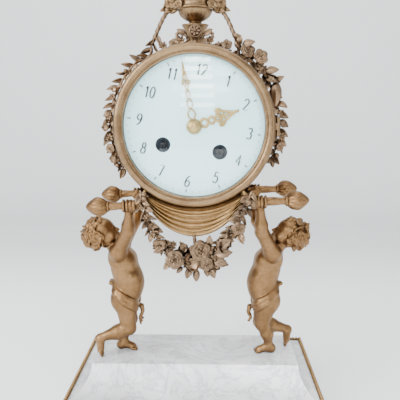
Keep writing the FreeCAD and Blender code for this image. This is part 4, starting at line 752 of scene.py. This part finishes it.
def top_garland():
    y = -11.5
    path = [polar_spot(53.2, d, y) for d in (-24, -16, -8, 0, 8, 16, 25)]
    parts = [vine(path, 0.9)]
    parts += sprigs(path, (LEAF, LAUREL, OAK), 2.4, 4.6)
    items = [(DAISY, -22, 3.0), (BERRY, -18, 1.7), (ROSE, -14.5, 3.4), (DAISY, -9.5, 3.2), (CUP, -5, 2.4),
             (CUP, 6, 2.6), (DAISY, 10, 3.0), (BERRY, 13.5, 1.8), (DAISY, 17, 2.8), (ROSE, 22, 3.6)]
    for kind, degrees, radius in items:
        spot = polar_spot(54.0 + 1.6 * (len(parts) % 3), degrees, y - 1.6)
        parts.append(placed(kind, spot, (0, -1, 0.35), rng.random(), radius))
    for side in (-1, 1):
        curl = [(side * 3.5, y, AXIS_Z + 56), (side * 7.5, y - 1, AXIS_Z + 61.5),
                (side * 11.5, y - 1, AXIS_Z + 61), (side * 11.5, y - 1, AXIS_Z + 57.5),
                (side * 8.8, y - 1, AXIS_Z + 57.5)]
        parts.append(vine(curl, 1.1, 40))
        parts.append(leaf_at(OAK, (side * 6, y - 1.2, AXIS_Z + 60), (side, 0, 0.6), (0, -1, 0), 7))
    x, z = 0.5, AXIS_Z + 62.3
    rosette = placed(DAISY, (x, -15.8, z), (0, -1, 0.05), 0, 3.2)
    ring = [(x + 3.7 * math.cos(a), -14.6, z + 3.7 * math.sin(a)) for a in np.linspace(0, 2 * math.pi, 33)]
    parts += [rosette, tube(ring, 0.75, 8), tube([(x, -8, z), (x, -15.0, z)], 3.2, 24)]
    return joined(parts)


# ---------------------------------------------------------------- urn
def urn_body():
    low, high = corners("urn")
    foot = low[2]
    tall = high[2] - foot
    shape = [(0.2, 0), (4.5, 0), (4.9, 0.7), (4.3, 1.5), (4.8, 2.2), (7.6, 3.6), (10.2, 5.8), (11.6, 8.4),
             (11.9, 9.6), (12.9, 10.2), (13.1, 11.2), (12.4, 12.0), (12.1, 13.4), (12.7, 16.5), (12.9, 18.4),
             (11.8, 20.2), (10.4, 22.2), (10.6, 24.6), (12.4, 27.2), (13.9, 28.4), (14.1, 29.2), (13.6, 29.9),
             (0.2, 29.9)]
    profile = np.array(shape) * [1, tall / 30.0]
    smooth = spline(np.hstack([profile, np.zeros((len(profile), 1))]), 130)[:, :2]
    verts, faces = lathe(smooth, 96, 24, 0.09, 0.14, 0.34)
    parts = [(verts + [0, 0, foot], faces)]
    for side in (-1, 1):
        hook = [(side * 12.0, 0, 11), (side * 15.6, 0, 8.6), (side * 18.8, 0, 10.4), (side * 19.8, 0, 16),
                (side * 17.0, 0, 22), (side * 13.0, 0, 25.5)]
        hook = [np.array(p) + [0, 0, foot] for p in hook]
        parts.append(tube(spline(hook, 40), 1.25, 10))
        for kind, x, y, z, size in ((ROSE, 16.5, -4.5, 14, 4.0), (DAISY, 12.5, -7.5, 16.5, 3.4),
                                    (CUP, 19.0, -2, 10.5, 2.4), (DAISY, 15.5, -5, 9.6, 2.8),
                                    (ROSE, 10.5, -9.5, 12.6, 2.8)):
            parts.append(placed(kind, (side * x, y, foot + z), (side * 0.5, -1, -0.1), x, size))
            toward = (side, -0.2, -0.8 + 0.1 * x / 4)
            parts.append(leaf_at(LEAF, (side * x, y + 0.6, foot + z), toward, (0, -1, 0), 5.5))
        swag = [np.array([side * 12.4 * math.cos(a), -13.3 * math.sin(a),
                          foot + 24.2 - 5.2 * math.sin(2 * a)]) for a in np.linspace(0.15, 1.45, 7)]
        parts.append(vine(swag, 0.8))
        for number, p in enumerate(spline(swag, 8)):
            kind = (DAISY, ROSE, CUP)[number % 3]
            parts.append(placed(kind, p, (p[0], p[1], 0.4), rng.random(), 2.1))
    return joined(parts)


def pedestal():
    low, high = corners("urn_pedestal")
    tall = high[2] - low[2]
    t = np.linspace(0, 1, 24)
    r = 5.2 + 3.6 * np.abs(2 * t - 0.9) ** 1.6
    return lathe(np.stack([np.minimum(r, 9.4), low[2] + tall * t], axis=1), 64, 16, 0.06, 0.2, 0.8)


def bouquet():
    """A dome of open flowers with leaves showing between them."""
    low, high = corners("urn_bouquet")
    rim = corners("urn")[1][2]
    middle = np.array([0, 0, rim + 8.0])
    parts = [placed(ball(9.5, 9, 20), middle)]
    total = 34
    for k in range(total):
        up = 1 - 1.15 * (k + 0.5) / total
        angle = k * math.pi * (3 - math.sqrt(5))
        flat = math.sqrt(max(1 - up * up, 0))
        out = np.array([flat * math.cos(angle), flat * math.sin(angle), up])
        tall = 1.0 + 0.45 * max(up, 0)
        centre = middle + out * [10.6, 10.6, 10.6 * tall]
        kind = (ROSE, DAISY, CUP, ROSE, DAISY)[k % 5]
        parts.append(placed(kind, centre, out, rng.random() * 6, 2.9 + 0.9 * rng.random()))
        side = unit(np.cross(out, (0, 0, 1)) + 0.01)
        toward = out * 0.4 + side * (1 if k % 2 else -1)
        parts.append(leaf_at((LEAF, OAK)[k % 2], centre - out, toward, out, 5.0))
    verts, faces = joined(parts)
    return np.clip(verts, low - 0.4, high + [0.4, 0.4, 0]), faces


# ---------------------------------------------------------------- litter poles
def pole_end(side, y):
    """Where a pole meets its bud; both poles lean with the drum."""
    return np.array([side * POLE_HALF * math.cos(TILT) + POLE_DROP * math.sin(TILT), y,
                     AXIS_Z - POLE_DROP * math.cos(TILT) + side * POLE_HALF * math.sin(TILT)])


def pole_bud_pair(front):
    """Closed buds with overlapping sepals and a collar at both ends of a pole."""
    node = "pole_buds_front" if front else "pole_buds_rear"
    low, high = corners(node)
    y = (low[1] + high[1]) / 2
    parts = []
    for side in (-1, 1):
        start = pole_end(side, y)
        along = np.array([side * math.cos(TILT), 0, side * math.sin(TILT)])
        t = np.linspace(0, 1, 22)
        r = 6.2 * np.sin(math.pi * np.clip(0.12 + 0.86 * t, 0, 0.985)) ** 0.62
        core = lathe(np.stack([r * 0.93, 14.2 * t], axis=1), 40, 5, 0.05)
        parts.append(placed(core, start, along))
        axes = facing(along)
        for ring in range(2):
            for k in range(5):
                angle = (k + 0.5 * ring) * 2 * math.pi / 5
                out = axes[0] * math.cos(angle) + axes[1] * math.sin(angle)
                line = spline([start + out * 2.0, start + out * 4.0 + along * (4.2 + 1.6 * ring),
                               start + out * 2.9 + along * 9.2,
                               start + out * (0.5 + 0.6 * ring) + along * 13.2], 11)
                parts.append(tube(line, 2.7 * np.sin(np.linspace(0.5, 3.0, 11)) ** 0.8, 12))
        collar = lathe([(0.2, -1.6), (3.3, -1.6), (3.9, -0.8), (3.3, 0),
                        (3.9, 0.8), (3.2, 1.6), (0.2, 1.6)], 28)
        parts.append(placed(collar, start, along))
    return joined(parts)


def pole_wrap(front):
    """The pole as a spirally fluted rod."""
    node = "litter_pole_front" if front else "litter_pole_rear"
    y = sum(c[1] for c in corners(node)) / 2
    line = np.linspace(pole_end(-1, y), pole_end(1, y), 200)
    return tube(line, POLE_R * 0.97, 24, 4, 0.13, 14)


# ---------------------------------------------------------------- base border
def bead_border():
    """Two low gilt fillets with a row of beads between them, round the whole slab."""
    low, high = corners("base_bead_border")
    level, tall = low[2], high[2] - low[2]
    out = np.array([high[0], high[1]])
    parts = []
    for inset, height, half in ((0.45, tall * 0.35, 0.42), (2.4, tall * 0.35, 0.36)):
        a, b = out - inset
        turns = ((1, 1), (-1, 1), (-1, -1), (1, -1))
        verts = np.array([(dx * (a + off), dy * (b + off), level + z)
                          for z, off in ((0, -half), (0, half), (height, half), (height, -half))
                          for dx, dy in turns])
        faces = [(i * 4 + j, i * 4 + (j + 1) % 4, ((i + 1) % 4) * 4 + (j + 1) % 4, ((i + 1) % 4) * 4 + j)
                 for i in range(4) for j in range(4)]
        parts.append((verts, faces))
    bead = ball(1.0, 5, 8)
    reach = out - 1.42
    for axis in (0, 1):
        length = 2 * reach[axis]
        count = int(length / 2.7)
        for k in range(count + 1):
            along = -reach[axis] + length * k / count
            for side in (-1, 1):
                spot = [0, 0, level + 1.35]
                spot[axis], spot[1 - axis] = along, side * reach[1 - axis]
                stretch = np.array([1.25, 1.25, 1.15])
                stretch[axis] = 1.1
                parts.append((bead[0] * stretch + spot, bead[1]))
    return joined(parts)


# ---------------------------------------------------------------- dial and hands
def arc(cx, cz, rx, rz, start, finish, count=14):
    angle = np.radians(np.linspace(start, finish, count))
    return np.stack([cx + rx * np.cos(angle), cz + rz * np.sin(angle)], axis=1)


def strokes_of(digit):
    """A numeral as pen strokes in a box 0.56 wide and 1 tall."""
    line = np.array
    return {
        "0": [arc(0.28, 0.5, 0.24, 0.5, 90, 450, 28)],
        "1": [line([(0.14, 0.8), (0.3, 1.0), (0.3, 0.0)])],
        "2": [np.vstack([arc(0.28, 0.74, 0.23, 0.26, 165, -35), [(0.05, 0.0), (0.54, 0.0)]])],
        "3": [arc(0.26, 0.75, 0.21, 0.25, 150, -85), arc(0.26, 0.26, 0.25, 0.26, 88, -150)],
        "4": [line([(0.4, 0.0), (0.4, 1.0), (0.03, 0.3), (0.55, 0.3)])],
        "5": [np.vstack([[(0.5, 1.0), (0.14, 1.0), (0.1, 0.56)], arc(0.27, 0.32, 0.25, 0.33, 110, -150)])],
        "6": [np.vstack([arc(0.5, 0.36, 0.46, 0.64, 95, 180, 8), arc(0.28, 0.28, 0.24, 0.28, 180, 540, 22)])],
        "7": [line([(0.05, 1.0), (0.53, 1.0), (0.2, 0.0)])],
        "8": [arc(0.28, 0.76, 0.18, 0.24, 0, 360, 20), arc(0.28, 0.27, 0.24, 0.27, 0, 360, 20)],
        "9": [np.vstack([arc(0.06, 0.64, 0.46, 0.64, -85, 0, 8), arc(0.28, 0.72, 0.24, 0.28, 0, 360, 22)])],
    }[digit]


def pen(points, thin, thick, y, rise):
    """A flat raised stroke, thick where it runs upright and thin where it runs level."""
    p = np.asarray(points, float)
    along = np.gradient(p, axis=0)
    along /= np.linalg.norm(along, axis=1)[:, None]
    half = (thin + (thick - thin) * np.abs(along[:, 1])) / 2
    normal = np.stack([-along[:, 1], along[:, 0]], axis=1) * half[:, None]
    rings = []
    for left, right in zip(p + normal, p - normal):
        rings.append([(left[0], y, left[1]), (left[0], y - rise, left[1]),
                      (right[0], y - rise, right[1]), (right[0], y, right[1])])
    return rings_closed(np.array(rings))


def turned_with_dial(part):
    """Turns dial artwork clockwise about the dial axis, as the movement sits."""
    verts, faces = part
    c, s = math.cos(DIAL_TURN), math.sin(DIAL_TURN)
    x, z = verts[:, 0] * c + verts[:, 2] * s, verts[:, 2] * c - verts[:, 0] * s
    return np.stack([x, verts[:, 1], z + AXIS_Z], axis=1), faces


def numerals():
    """Upright figures that lean a little, 1 to 12."""
    tall, ring, narrow, lean = 7.2, 36.6, 0.82, 0.12
    advance = 0.62 * narrow * tall
    parts = []
    for hour in range(1, 13):
        text = str(hour)
        angle = math.radians(30 * hour)
        left = ring * math.sin(angle) - advance * len(text) / 2
        for place, digit in enumerate(text):
            corner = np.array([left + place * advance, ring * math.cos(angle) - tall / 2])
            for stroke in strokes_of(digit):
                points = stroke * tall * [narrow, 1.0] + corner
                points[:, 0] += lean * (points[:, 1] - corner[1])
                parts.append(pen(points, 0.45, 0.9, DIAL_FACE + 0.02, 0.05))
    return turned_with_dial(joined(parts))


def minute_marks():
    parts = []
    for minute in range(60):
        angle = math.radians(6 * minute)
        fifth = minute % 5 == 0
        inner, outer = (42.0, 44.2) if fifth else (43.2, 44.0)
        out = np.array([math.sin(angle), math.cos(angle)])
        width = 0.62 if fifth else 0.34
        side = np.array([out[1], -out[0]]) * width / 2
        ring = [out * inner - side, out * inner + side, out * outer + side, out * outer - side]
        low = [(p[0], DIAL_FACE + 0.02, p[1]) for p in ring]
        top = [(p[0], DIAL_FACE - 0.03, p[1]) for p in ring]
        parts.append(rings_closed(np.array([low, top])))
    return turned_with_dial(joined(parts))


def pierced_hand(length, degrees, y, thick, hub, chain, arrow, stroke):
    """A pierced hand: a chain of scrolls from the hub to an open tip, cut from one sheet."""
    parts = []

    def ribbon(points, width):
        points = np.asarray(points, float)
        line = np.stack([points[:, 0], np.full(len(points), y), points[:, 1]], axis=1)
        verts, faces = tube(line, width, 8)
        verts[:, 1] = y + (verts[:, 1] - y) * thick / (2 * width)
        parts.append((verts, faces))

    ribbon(arc(0, 0, hub, hub, 0, 360, 33), 0.9)
    start = hub
    for bulge, span, width in chain:
        for side in (1, -1):
            t = np.linspace(0, math.pi, 13)
            ribbon(np.stack([side * bulge * np.sin(t), start + span * t / math.pi], axis=1), width)
        start += span * 0.94
    half, tip = arrow
    for side in (1, -1):
        edge = [(0, start - 0.5), (side * half * 0.5, start - 1.4), (side * half, start + 0.6),
                (side * half * 0.62, start + 2.6), (side * 0.4, length - tip * 0.4), (0, length)]
        ribbon(spline(edge, 24), stroke)
        ribbon(arc(side * half * 0.85, start - 0.4, half * 0.22, half * 0.22, 0, 360, 17), stroke * 0.8)
        ribbon(arc(side * half * 0.4, start + 1.8, half * 0.24, half * 0.24, 0, 360, 17), stroke * 0.7)
    ribbon([(0, start - 1), (0, (start + length) / 2), (0, length)], stroke)
    verts, faces = joined(parts)
    turn = math.radians(degrees)
    x = verts[:, 0] * math.cos(turn) + verts[:, 2] * math.sin(turn)
    z = verts[:, 2] * math.cos(turn) - verts[:, 0] * math.sin(turn)
    return np.stack([x, verts[:, 1], z + AXIS_Z], axis=1), faces


def winding_wells():
    """Black cups behind the two winding holes, painted shade for their dark insides, open in the middle for
    the squares.
    """
    parts = []
    for node in ("going_winding_arbor", "strike_winding_arbor"):
        low, high = corners(node)
        x, z = (low[0] + high[0]) / 2, (low[2] + high[2]) / 2
        back = DIAL_FACE + 4.6
        front, bore, wall, gap = DIAL_FACE + 1.3, 5.3, 5.6, 2.9
        verts, faces = lathe([(bore, front), (wall, front), (wall, back), (gap, back),
                              (gap, back - 0.3), (bore, back - 0.3), (bore, front)], 40)
        verts = verts[:-2][:, [0, 2, 1]]
        faces = [face[::-1] for face in faces if max(face) < len(verts)]
        parts.append((verts + [x, 0, z], faces))
    return joined(parts)


def hand_boss():
    """The domed nut over the hands."""
    low, high = corners("hand_nut")
    t = np.linspace(0, 1, 12)
    r = (high[0] - low[0]) / 2
    dome = np.stack([r * np.cos(t * 1.5), 0.35 + 2.4 * np.sin(t * 1.5)], axis=1)
    part = lathe(np.vstack([[(0.9, 0), (r, 0)], dome]), 48)
    return placed(part, (0, high[1], AXIS_Z), (0, -1, 0))


def hand_level(node):
    low, high = corners(node)
    return (low[1] + high[1]) / 2, high[1] - low[1]


def bezel_milling():
    """A fine line of beading in the bezel's groove, just outside the glass."""
    groove, face = 47.75, corners("front_bezel")[0][1] + 0.95
    angle = np.linspace(0, 2 * math.pi, 1081)
    line = np.stack([groove * np.cos(angle), np.full_like(angle, face),
                     groove * np.sin(angle) + AXIS_Z], axis=1)
    return tube(line, 0.42 * (1 + 0.45 * np.cos(180 * angle)), 8)


# ---------------------------------------------------------------- materials
class Look:
    """A material under construction, with the nodes that all of them share."""

    def __init__(self, name):
        self.material = bpy.data.materials.new(name)
        self.material.use_nodes = True
        self.nodes = self.material.node_tree.nodes
        self.links = self.material.node_tree.links
        self.shader = self.nodes["Principled BSDF"]
        self.where = self.nodes.new("ShaderNodeTexCoord").outputs["Object"]

    def noise(self, scale, detail=6, rough=0.6, warp=0.0):
        node = self.nodes.new("ShaderNodeTexNoise")
        node.inputs["Scale"].default_value = scale
        node.inputs["Detail"].default_value = detail
        node.inputs["Roughness"].default_value = rough
        node.inputs["Distortion"].default_value = warp
        self.links.new(self.where, node.inputs["Vector"])
        return node.outputs["Fac"]

    def ramp(self, value, stops):
        node = self.nodes.new("ShaderNodeValToRGB")
        elements = node.color_ramp.elements
        for element, (place, colour) in zip(elements, stops[:2]):
            element.position = place
            element.color = (*colour, 1)
        for place, colour in stops[2:]:
            elements.new(place).color = (*colour, 1)
        self.links.new(value, node.inputs["Fac"])
        return node.outputs["Color"]

    def mixed(self, share, a, b, kind="MIX"):
        """Each of share, a and b is a node's output or a plain value."""
        node = self.nodes.new("ShaderNodeMix")
        node.data_type = "RGBA"
        node.blend_type = kind
        for socket, value in ((node.inputs["Factor"], share), (node.inputs[6], a), (node.inputs[7], b)):
            if isinstance(value, bpy.types.NodeSocket):
                self.links.new(value, socket)
            elif isinstance(value, (int, float)):
                socket.default_value = value
            else:
                socket.default_value = (*value, 1)
        return node.outputs[2]

    def bump(self, value, strength, distance):
        node = self.nodes.new("ShaderNodeBump")
        node.inputs["Strength"].default_value = strength
        node.inputs["Distance"].default_value = distance
        self.links.new(value, node.inputs["Height"])
        self.links.new(node.outputs["Normal"], self.shader.inputs["Normal"])


def gilt(name, light, worn, dark, rough, grain, hollow):
    """Old gilding: patches of gold and of browner wear, dark in hollows up to that many metres wide."""
    look = Look(name)
    patches = look.ramp(look.noise(60, 5, 0.6), [(0.35, worn), (0.65, light)])
    specks = look.ramp(look.noise(420, 3, 0.7), [(0.3, (0.72,) * 3), (0.62, (1.06,) * 3)])
    colour = look.mixed(0.75, patches, specks, "MULTIPLY")
    shade = look.nodes.new("ShaderNodeAmbientOcclusion")
    shade.inputs["Distance"].default_value = hollow
    shade.samples = 8
    hollows = look.ramp(shade.outputs["AO"], [(0.25, (1, 1, 1)), (0.85, (0, 0, 0))])
    look.links.new(look.mixed(hollows, colour, dark), look.shader.inputs["Base Color"])
    look.shader.inputs["Metallic"].default_value = 1.0
    levels = look.ramp(look.noise(180, 4, 0.6), [(0.3, (rough - 0.08,) * 3), (0.7, (rough + 0.1,) * 3)])
    look.links.new(levels, look.shader.inputs["Roughness"])
    look.bump(look.noise(grain, 4, 0.6), 0.25, 0.0002)
    return look.material


def marble():
    look = Look("white_marble")
    clouds = look.ramp(look.noise(16, 8, 0.6, 0.8), [(0.36, (0.55, 0.55, 0.56)), (0.62, (0.80, 0.80, 0.815))])
    veins = look.ramp(look.noise(26, 9, 0.65, 2.2),
                      [(0.46, (1, 1, 1)), (0.5, (0.60, 0.61, 0.64)), (0.54, (1, 1, 1))])
    look.links.new(look.mixed(0.8, clouds, veins, "MULTIPLY"), look.shader.inputs["Base Color"])
    look.shader.inputs["Roughness"].default_value = 0.32
    look.shader.inputs["Subsurface Weight"].default_value = 0.15
    look.shader.inputs["Subsurface Scale"].default_value = 0.004
    look.bump(look.noise(500, 3, 0.5), 0.05, 0.0002)
    return look.material


def enamel():
    look = Look("white_enamel")
    tone = look.ramp(look.noise(30, 4, 0.5), [(0.3, (0.62, 0.83, 0.87)), (0.7, (0.65, 0.85, 0.88))])
    look.links.new(tone, look.shader.inputs["Base Color"])
    look.shader.inputs["Roughness"].default_value = 0.18
    look.shader.inputs["Coat Weight"].default_value = 0.4
    look.bump(look.noise(90, 2, 0.5), 0.04, 0.0002)
    return look.material


# Black for the fired numerals and minute marks, and also the painted shade inside the winding holes.
def black_paint():
    look = Look("fired_black_print_and_painted_shade")
    tone = look.ramp(look.noise(300, 3, 0.5), [(0.3, (0.012, 0.016, 0.022)), (0.7, (0.04, 0.045, 0.06))])
    look.links.new(tone, look.shader.inputs["Base Color"])
    look.shader.inputs["Roughness"].default_value = 0.35
    return look.material


def steel(name, low, high):
    look = Look(name)
    tone = look.ramp(look.noise(400, 4, 0.5), [(0.3, low), (0.7, high)])
    look.links.new(tone, look.shader.inputs["Base Color"])
    look.shader.inputs["Metallic"].default_value = 1.0
    look.shader.inputs["Roughness"].default_value = 0.3
    look.bump(look.noise(900, 3, 0.5), 0.08, 0.0001)
    return look.material


def clear_glass():
    """Domed glass, more reflective at its edge. Its reflection is weakened to keep the dial clear."""
    reflection = 0.5
    look = Look("dial_glass")
    look.nodes.remove(look.shader)
    fresnel = look.nodes.new("ShaderNodeFresnel")
    fresnel.inputs["IOR"].default_value = 1.5
    clear = look.nodes.new("ShaderNodeBsdfTransparent")
    clear.inputs["Color"].default_value = (0.97, 0.995, 0.995, 1)
    gloss = look.nodes.new("ShaderNodeBsdfGlossy")
    gloss.inputs["Roughness"].default_value = 0.03
    ripple = look.nodes.new("ShaderNodeBump")
    ripple.inputs["Strength"].default_value = 0.05
    ripple.inputs["Distance"].default_value = 0.0003
    look.links.new(look.noise(40, 2, 0.4), ripple.inputs["Height"])
    look.links.new(ripple.outputs["Normal"], gloss.inputs["Normal"])
    mix = look.nodes.new("ShaderNodeMixShader")
    weaker = look.nodes.new("ShaderNodeMath")
    weaker.operation = "MULTIPLY"
    weaker.inputs[1].default_value = reflection
    look.links.new(fresnel.outputs["Fac"], weaker.inputs[0])
    look.links.new(weaker.outputs["Value"], mix.inputs["Fac"])
    look.links.new(clear.outputs["BSDF"], mix.inputs[1])
    look.links.new(gloss.outputs["BSDF"], mix.inputs[2])
    look.links.new(mix.outputs["Shader"], look.nodes["Material Output"].inputs["Surface"])
    return look.material


def paper():
    """Pale paper with painted shade: darker where it rises behind than where it lies near the clock."""
    look = Look("pale_paper")
    split = look.nodes.new("ShaderNodeSeparateXYZ")
    look.links.new(look.where, split.inputs[0])
    cloud = look.ramp(look.noise(3, 3, 0.5), [(0.3, (0.97,) * 3), (0.7, (1.0,) * 3)])
    # painted shade: the paper's colour darkens with Y, where the sheet rises up behind the clock
    depth = look.ramp(split.outputs["Y"], [(0.25, (0.96, 0.97, 0.975)), (0.50, (0.74, 0.75, 0.75))])
    look.links.new(look.mixed(1.0, depth, cloud, "MULTIPLY"), look.shader.inputs["Base Color"])
    look.shader.inputs["Roughness"].default_value = 0.8
    return look.material


FIGURE = gilt("figure_gilding", (0.285, 0.165, 0.074), (0.21, 0.115, 0.05), (0.045, 0.022, 0.010),
              0.42, 700, 0.004)
CLOTH = gilt("cloth_gilding", (0.46, 0.29, 0.13), (0.33, 0.20, 0.082), (0.07, 0.038, 0.016),
             0.35, 500, 0.004)
FLOWERS = gilt("flower_gilding", (0.30, 0.195, 0.115), (0.15, 0.10, 0.065), (0.018, 0.012, 0.009),
               0.36, 600, 0.004)
RIM = gilt("bezel_gilding", (0.31, 0.20, 0.105), (0.21, 0.13, 0.066), (0.06, 0.035, 0.015),
           0.36, 900, 0.002)
HANDS = gilt("hand_gilding", (0.76, 0.50, 0.22), (0.62, 0.39, 0.15), (0.22, 0.11, 0.04),
             0.34, 900, 0.0008)
BRASS = gilt("movement_brass", (0.70, 0.52, 0.22), (0.60, 0.43, 0.17), (0.2, 0.12, 0.05),
             0.28, 900, 0.001)
STEEL = steel("polished_steel", (0.28, 0.29, 0.31), (0.48, 0.49, 0.51))
# Near-black steel for the winding squares: painted shade for the dark inside of the winding holes.
DARK_STEEL = steel("steel_darkened_as_painted_shade", (0.012, 0.012, 0.014), (0.05, 0.05, 0.055))
MARBLE = marble()
ENAMEL = enamel()
BLACK = black_paint()
GLASS = clear_glass()


def dress_frame():
    """Gives every CAD node that stays visible its material."""
    steel_nodes = ("base_nuts", "urn_rod", "strap_screws", "hinge_pins", "front_studs", "hammer_stud",
                   "centre_arbor", "pallet_anchor", "fly",
                   "going_click", "strike_click", "hammer", "case_bolt")
    # the winding arbors take the near-black steel, which paints the shade inside their holes
    special = {"marble_base": MARBLE, "dial": ENAMEL, "front_glass": GLASS, "hand_nut": HANDS,
               "going_winding_arbor": DARK_STEEL, "strike_winding_arbor": DARK_STEEL}
    rim_nodes = ("front_bezel", "front_ring", "rear_ring", "rear_door", "drum_case", "bun_feet")
    for name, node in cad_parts.items():
        material = special.get(name, BRASS)
        if name in steel_nodes:
            material = STEEL
        elif name in rim_nodes:
            material = RIM
        node.data.materials.clear()
        node.data.materials.append(material)


def build():
    dress_frame()
    for side, name in ((-1, "left"), (1, "right")):
        piece(f"figure_{name}", putto(side), FIGURE, "base", (f"putto_{name}",))
        piece(f"flank_flowers_{name}", side_garland(side), FLOWERS, "base",
              (f"garland_{name}",))
        piece(f"cloth_corner_{name}", knot_of_cloth(side), CLOTH, "base")
    piece("cloth_swag", drapery(), CLOTH, "base", ("drapery_cradle",))
    piece("flower_swag", garland_lower(), FLOWERS, "base", ("garland_lower",))
    piece("shoulder_flowers", top_garland(), FLOWERS, "base", ("top_garland",))
    piece("urn_vase", urn_body(), RIM, "base", ("urn",))
    piece("urn_stand", pedestal(), RIM, "base", ("urn_pedestal",))
    piece("urn_flowers", bouquet(), FLOWERS, "base", ("urn_bouquet",))
    for front, name in ((True, "front"), (False, "rear")):
        piece(f"bud_ends_{name}", pole_bud_pair(front), FIGURE, "base", (f"pole_buds_{name}",))
        piece(f"twisted_pole_{name}", pole_wrap(front), FIGURE, "base",
              (f"litter_pole_{name}",))
    piece("bead_moulding", bead_border(), CLOTH, "base", ("base_bead_border",))
    piece("dial_numerals", numerals(), BLACK, "base", smooth=False)
    piece("dial_minutes", minute_marks(), BLACK, "base", smooth=False)
    # painted shade: black cups fill the winding holes, which on the real clock are dark only from shadow
    piece("winding_hole_painted_shade", winding_wells(), BLACK, "base")
    piece("hand_boss", hand_boss(), HANDS, "minute_body", ("hand_nut",))
    piece("bezel_rings", bezel_milling(), RIM, "front_door")
    y, thick = hand_level("hour_hand")
    chain = ((2.7, 6.0, 0.9), (2.3, 4.8, 0.85), (1.9, 4, 0.8))
    piece("hour_hand_pierced", pierced_hand(31.0, 70.4, y, thick, 4.2, chain, (5.4, 9), 0.8), HANDS,
          "hour_body", ("hour_hand",))
    y, thick = hand_level("minute_hand")
    chain = ((2.4, 8, 0.5), (1.8, 7, 0.45), (1.2, 6, 0.42), (0.9, 5, 0.4))
    piece("minute_hand_pierced", pierced_hand(41.6, -10.5, y, thick, 4.0, chain, (2.2, 12), 0.5), HANDS,
          "minute_body", ("minute_hand",))


# ---------------------------------------------------------------- stage, lights, camera
def stage():
    """A sheet of paper that sweeps up behind the clock."""
    profile = [(-1200, 0), (700, 0)] + [(700 + 400 * math.sin(a), 400 - 400 * math.cos(a))
                                        for a in np.linspace(0.1, math.pi / 2, 14)] + [(1100, 1900)]
    verts = np.array([(x, y, z) for y, z in profile for x in (-1800, 1800)], float)
    faces = [(2 * i, 2 * i + 1, 2 * i + 3, 2 * i + 2) for i in range(len(profile) - 1)]
    mesh = bpy.data.meshes.new("backdrop")
    mesh.from_pydata((verts * MM).tolist(), [], faces)
    mesh.polygons.foreach_set("use_smooth", [True] * len(mesh.polygons))
    mesh.materials.append(paper())
    obj = bpy.data.objects.new("backdrop", mesh)
    bpy.context.scene.collection.objects.link(obj)


def softbox(name, where, target, width, height, power, colour=(1, 1, 1)):
    light = bpy.data.lights.new(name, "AREA")
    light.shape = "RECTANGLE"
    light.size, light.size_y = width * MM, height * MM
    light.energy = power
    light.color = colour
    obj = bpy.data.objects.new(name, light)
    bpy.context.scene.collection.objects.link(obj)
    obj.location = Vector(where) * MM
    obj.rotation_euler = (Vector(target) - Vector(where)).to_track_quat("-Z", "Y").to_euler()
    return obj


def lights():
    """Daylight from the left and above, a front fill that no surface mirrors, and two lights that
    stand in for the window and the doorway seen in the dial glass."""
    middle = (0, 0, AXIS_Z * 0.8)
    softbox("window_left", (-900, -700, 700), middle, 900, 900, 23, (0.97, 0.985, 1))
    softbox("window_right", (1000, -500, 500), middle, 700, 900, 4, (1, 0.98, 0.95))
    softbox("overhead", (0, -100, 1300), middle, 1400, 1200, 16)
    fill = softbox("front_fill", (150, -1500, 420), middle, 1300, 900, 44, (0.95, 0.99, 1))
    fill.visible_glossy = False
    softbox("doorway", (-590, -1000, AXIS_Z + 250), (-30, 0, AXIS_Z + 20), 130, 210, 0.9)
    slats, lowest, pitch, away = 7, 110, 58, -1000
    for slat in range(slats):
        level = AXIS_Z + lowest + pitch * slat
        softbox(f"window_slat_{slat}", (-5, away, level), (-5, 0, level), 225 - 12 * slat, 30, 0.55)
    world = bpy.data.worlds.new("studio")
    world.use_nodes = True
    world.node_tree.nodes["Background"].inputs["Color"].default_value = (0.9, 0.93, 0.96, 1)
    world.node_tree.nodes["Background"].inputs["Strength"].default_value = 0.55
    bpy.context.scene.world = world


def camera():
    data = bpy.data.cameras.new("view")
    data.lens, data.sensor_width = 50, 36
    obj = bpy.data.objects.new("view", data)
    bpy.context.scene.collection.objects.link(obj)
    place, look_down, look_left = (11.7, -396, AXIS_Z + 13.2), 9.6, 1.22
    obj.location = Vector(place) * MM
    obj.rotation_euler = (math.radians(90 - look_down), 0, math.radians(look_left))
    bpy.context.scene.camera = obj


build()
stage()
lights()
camera()
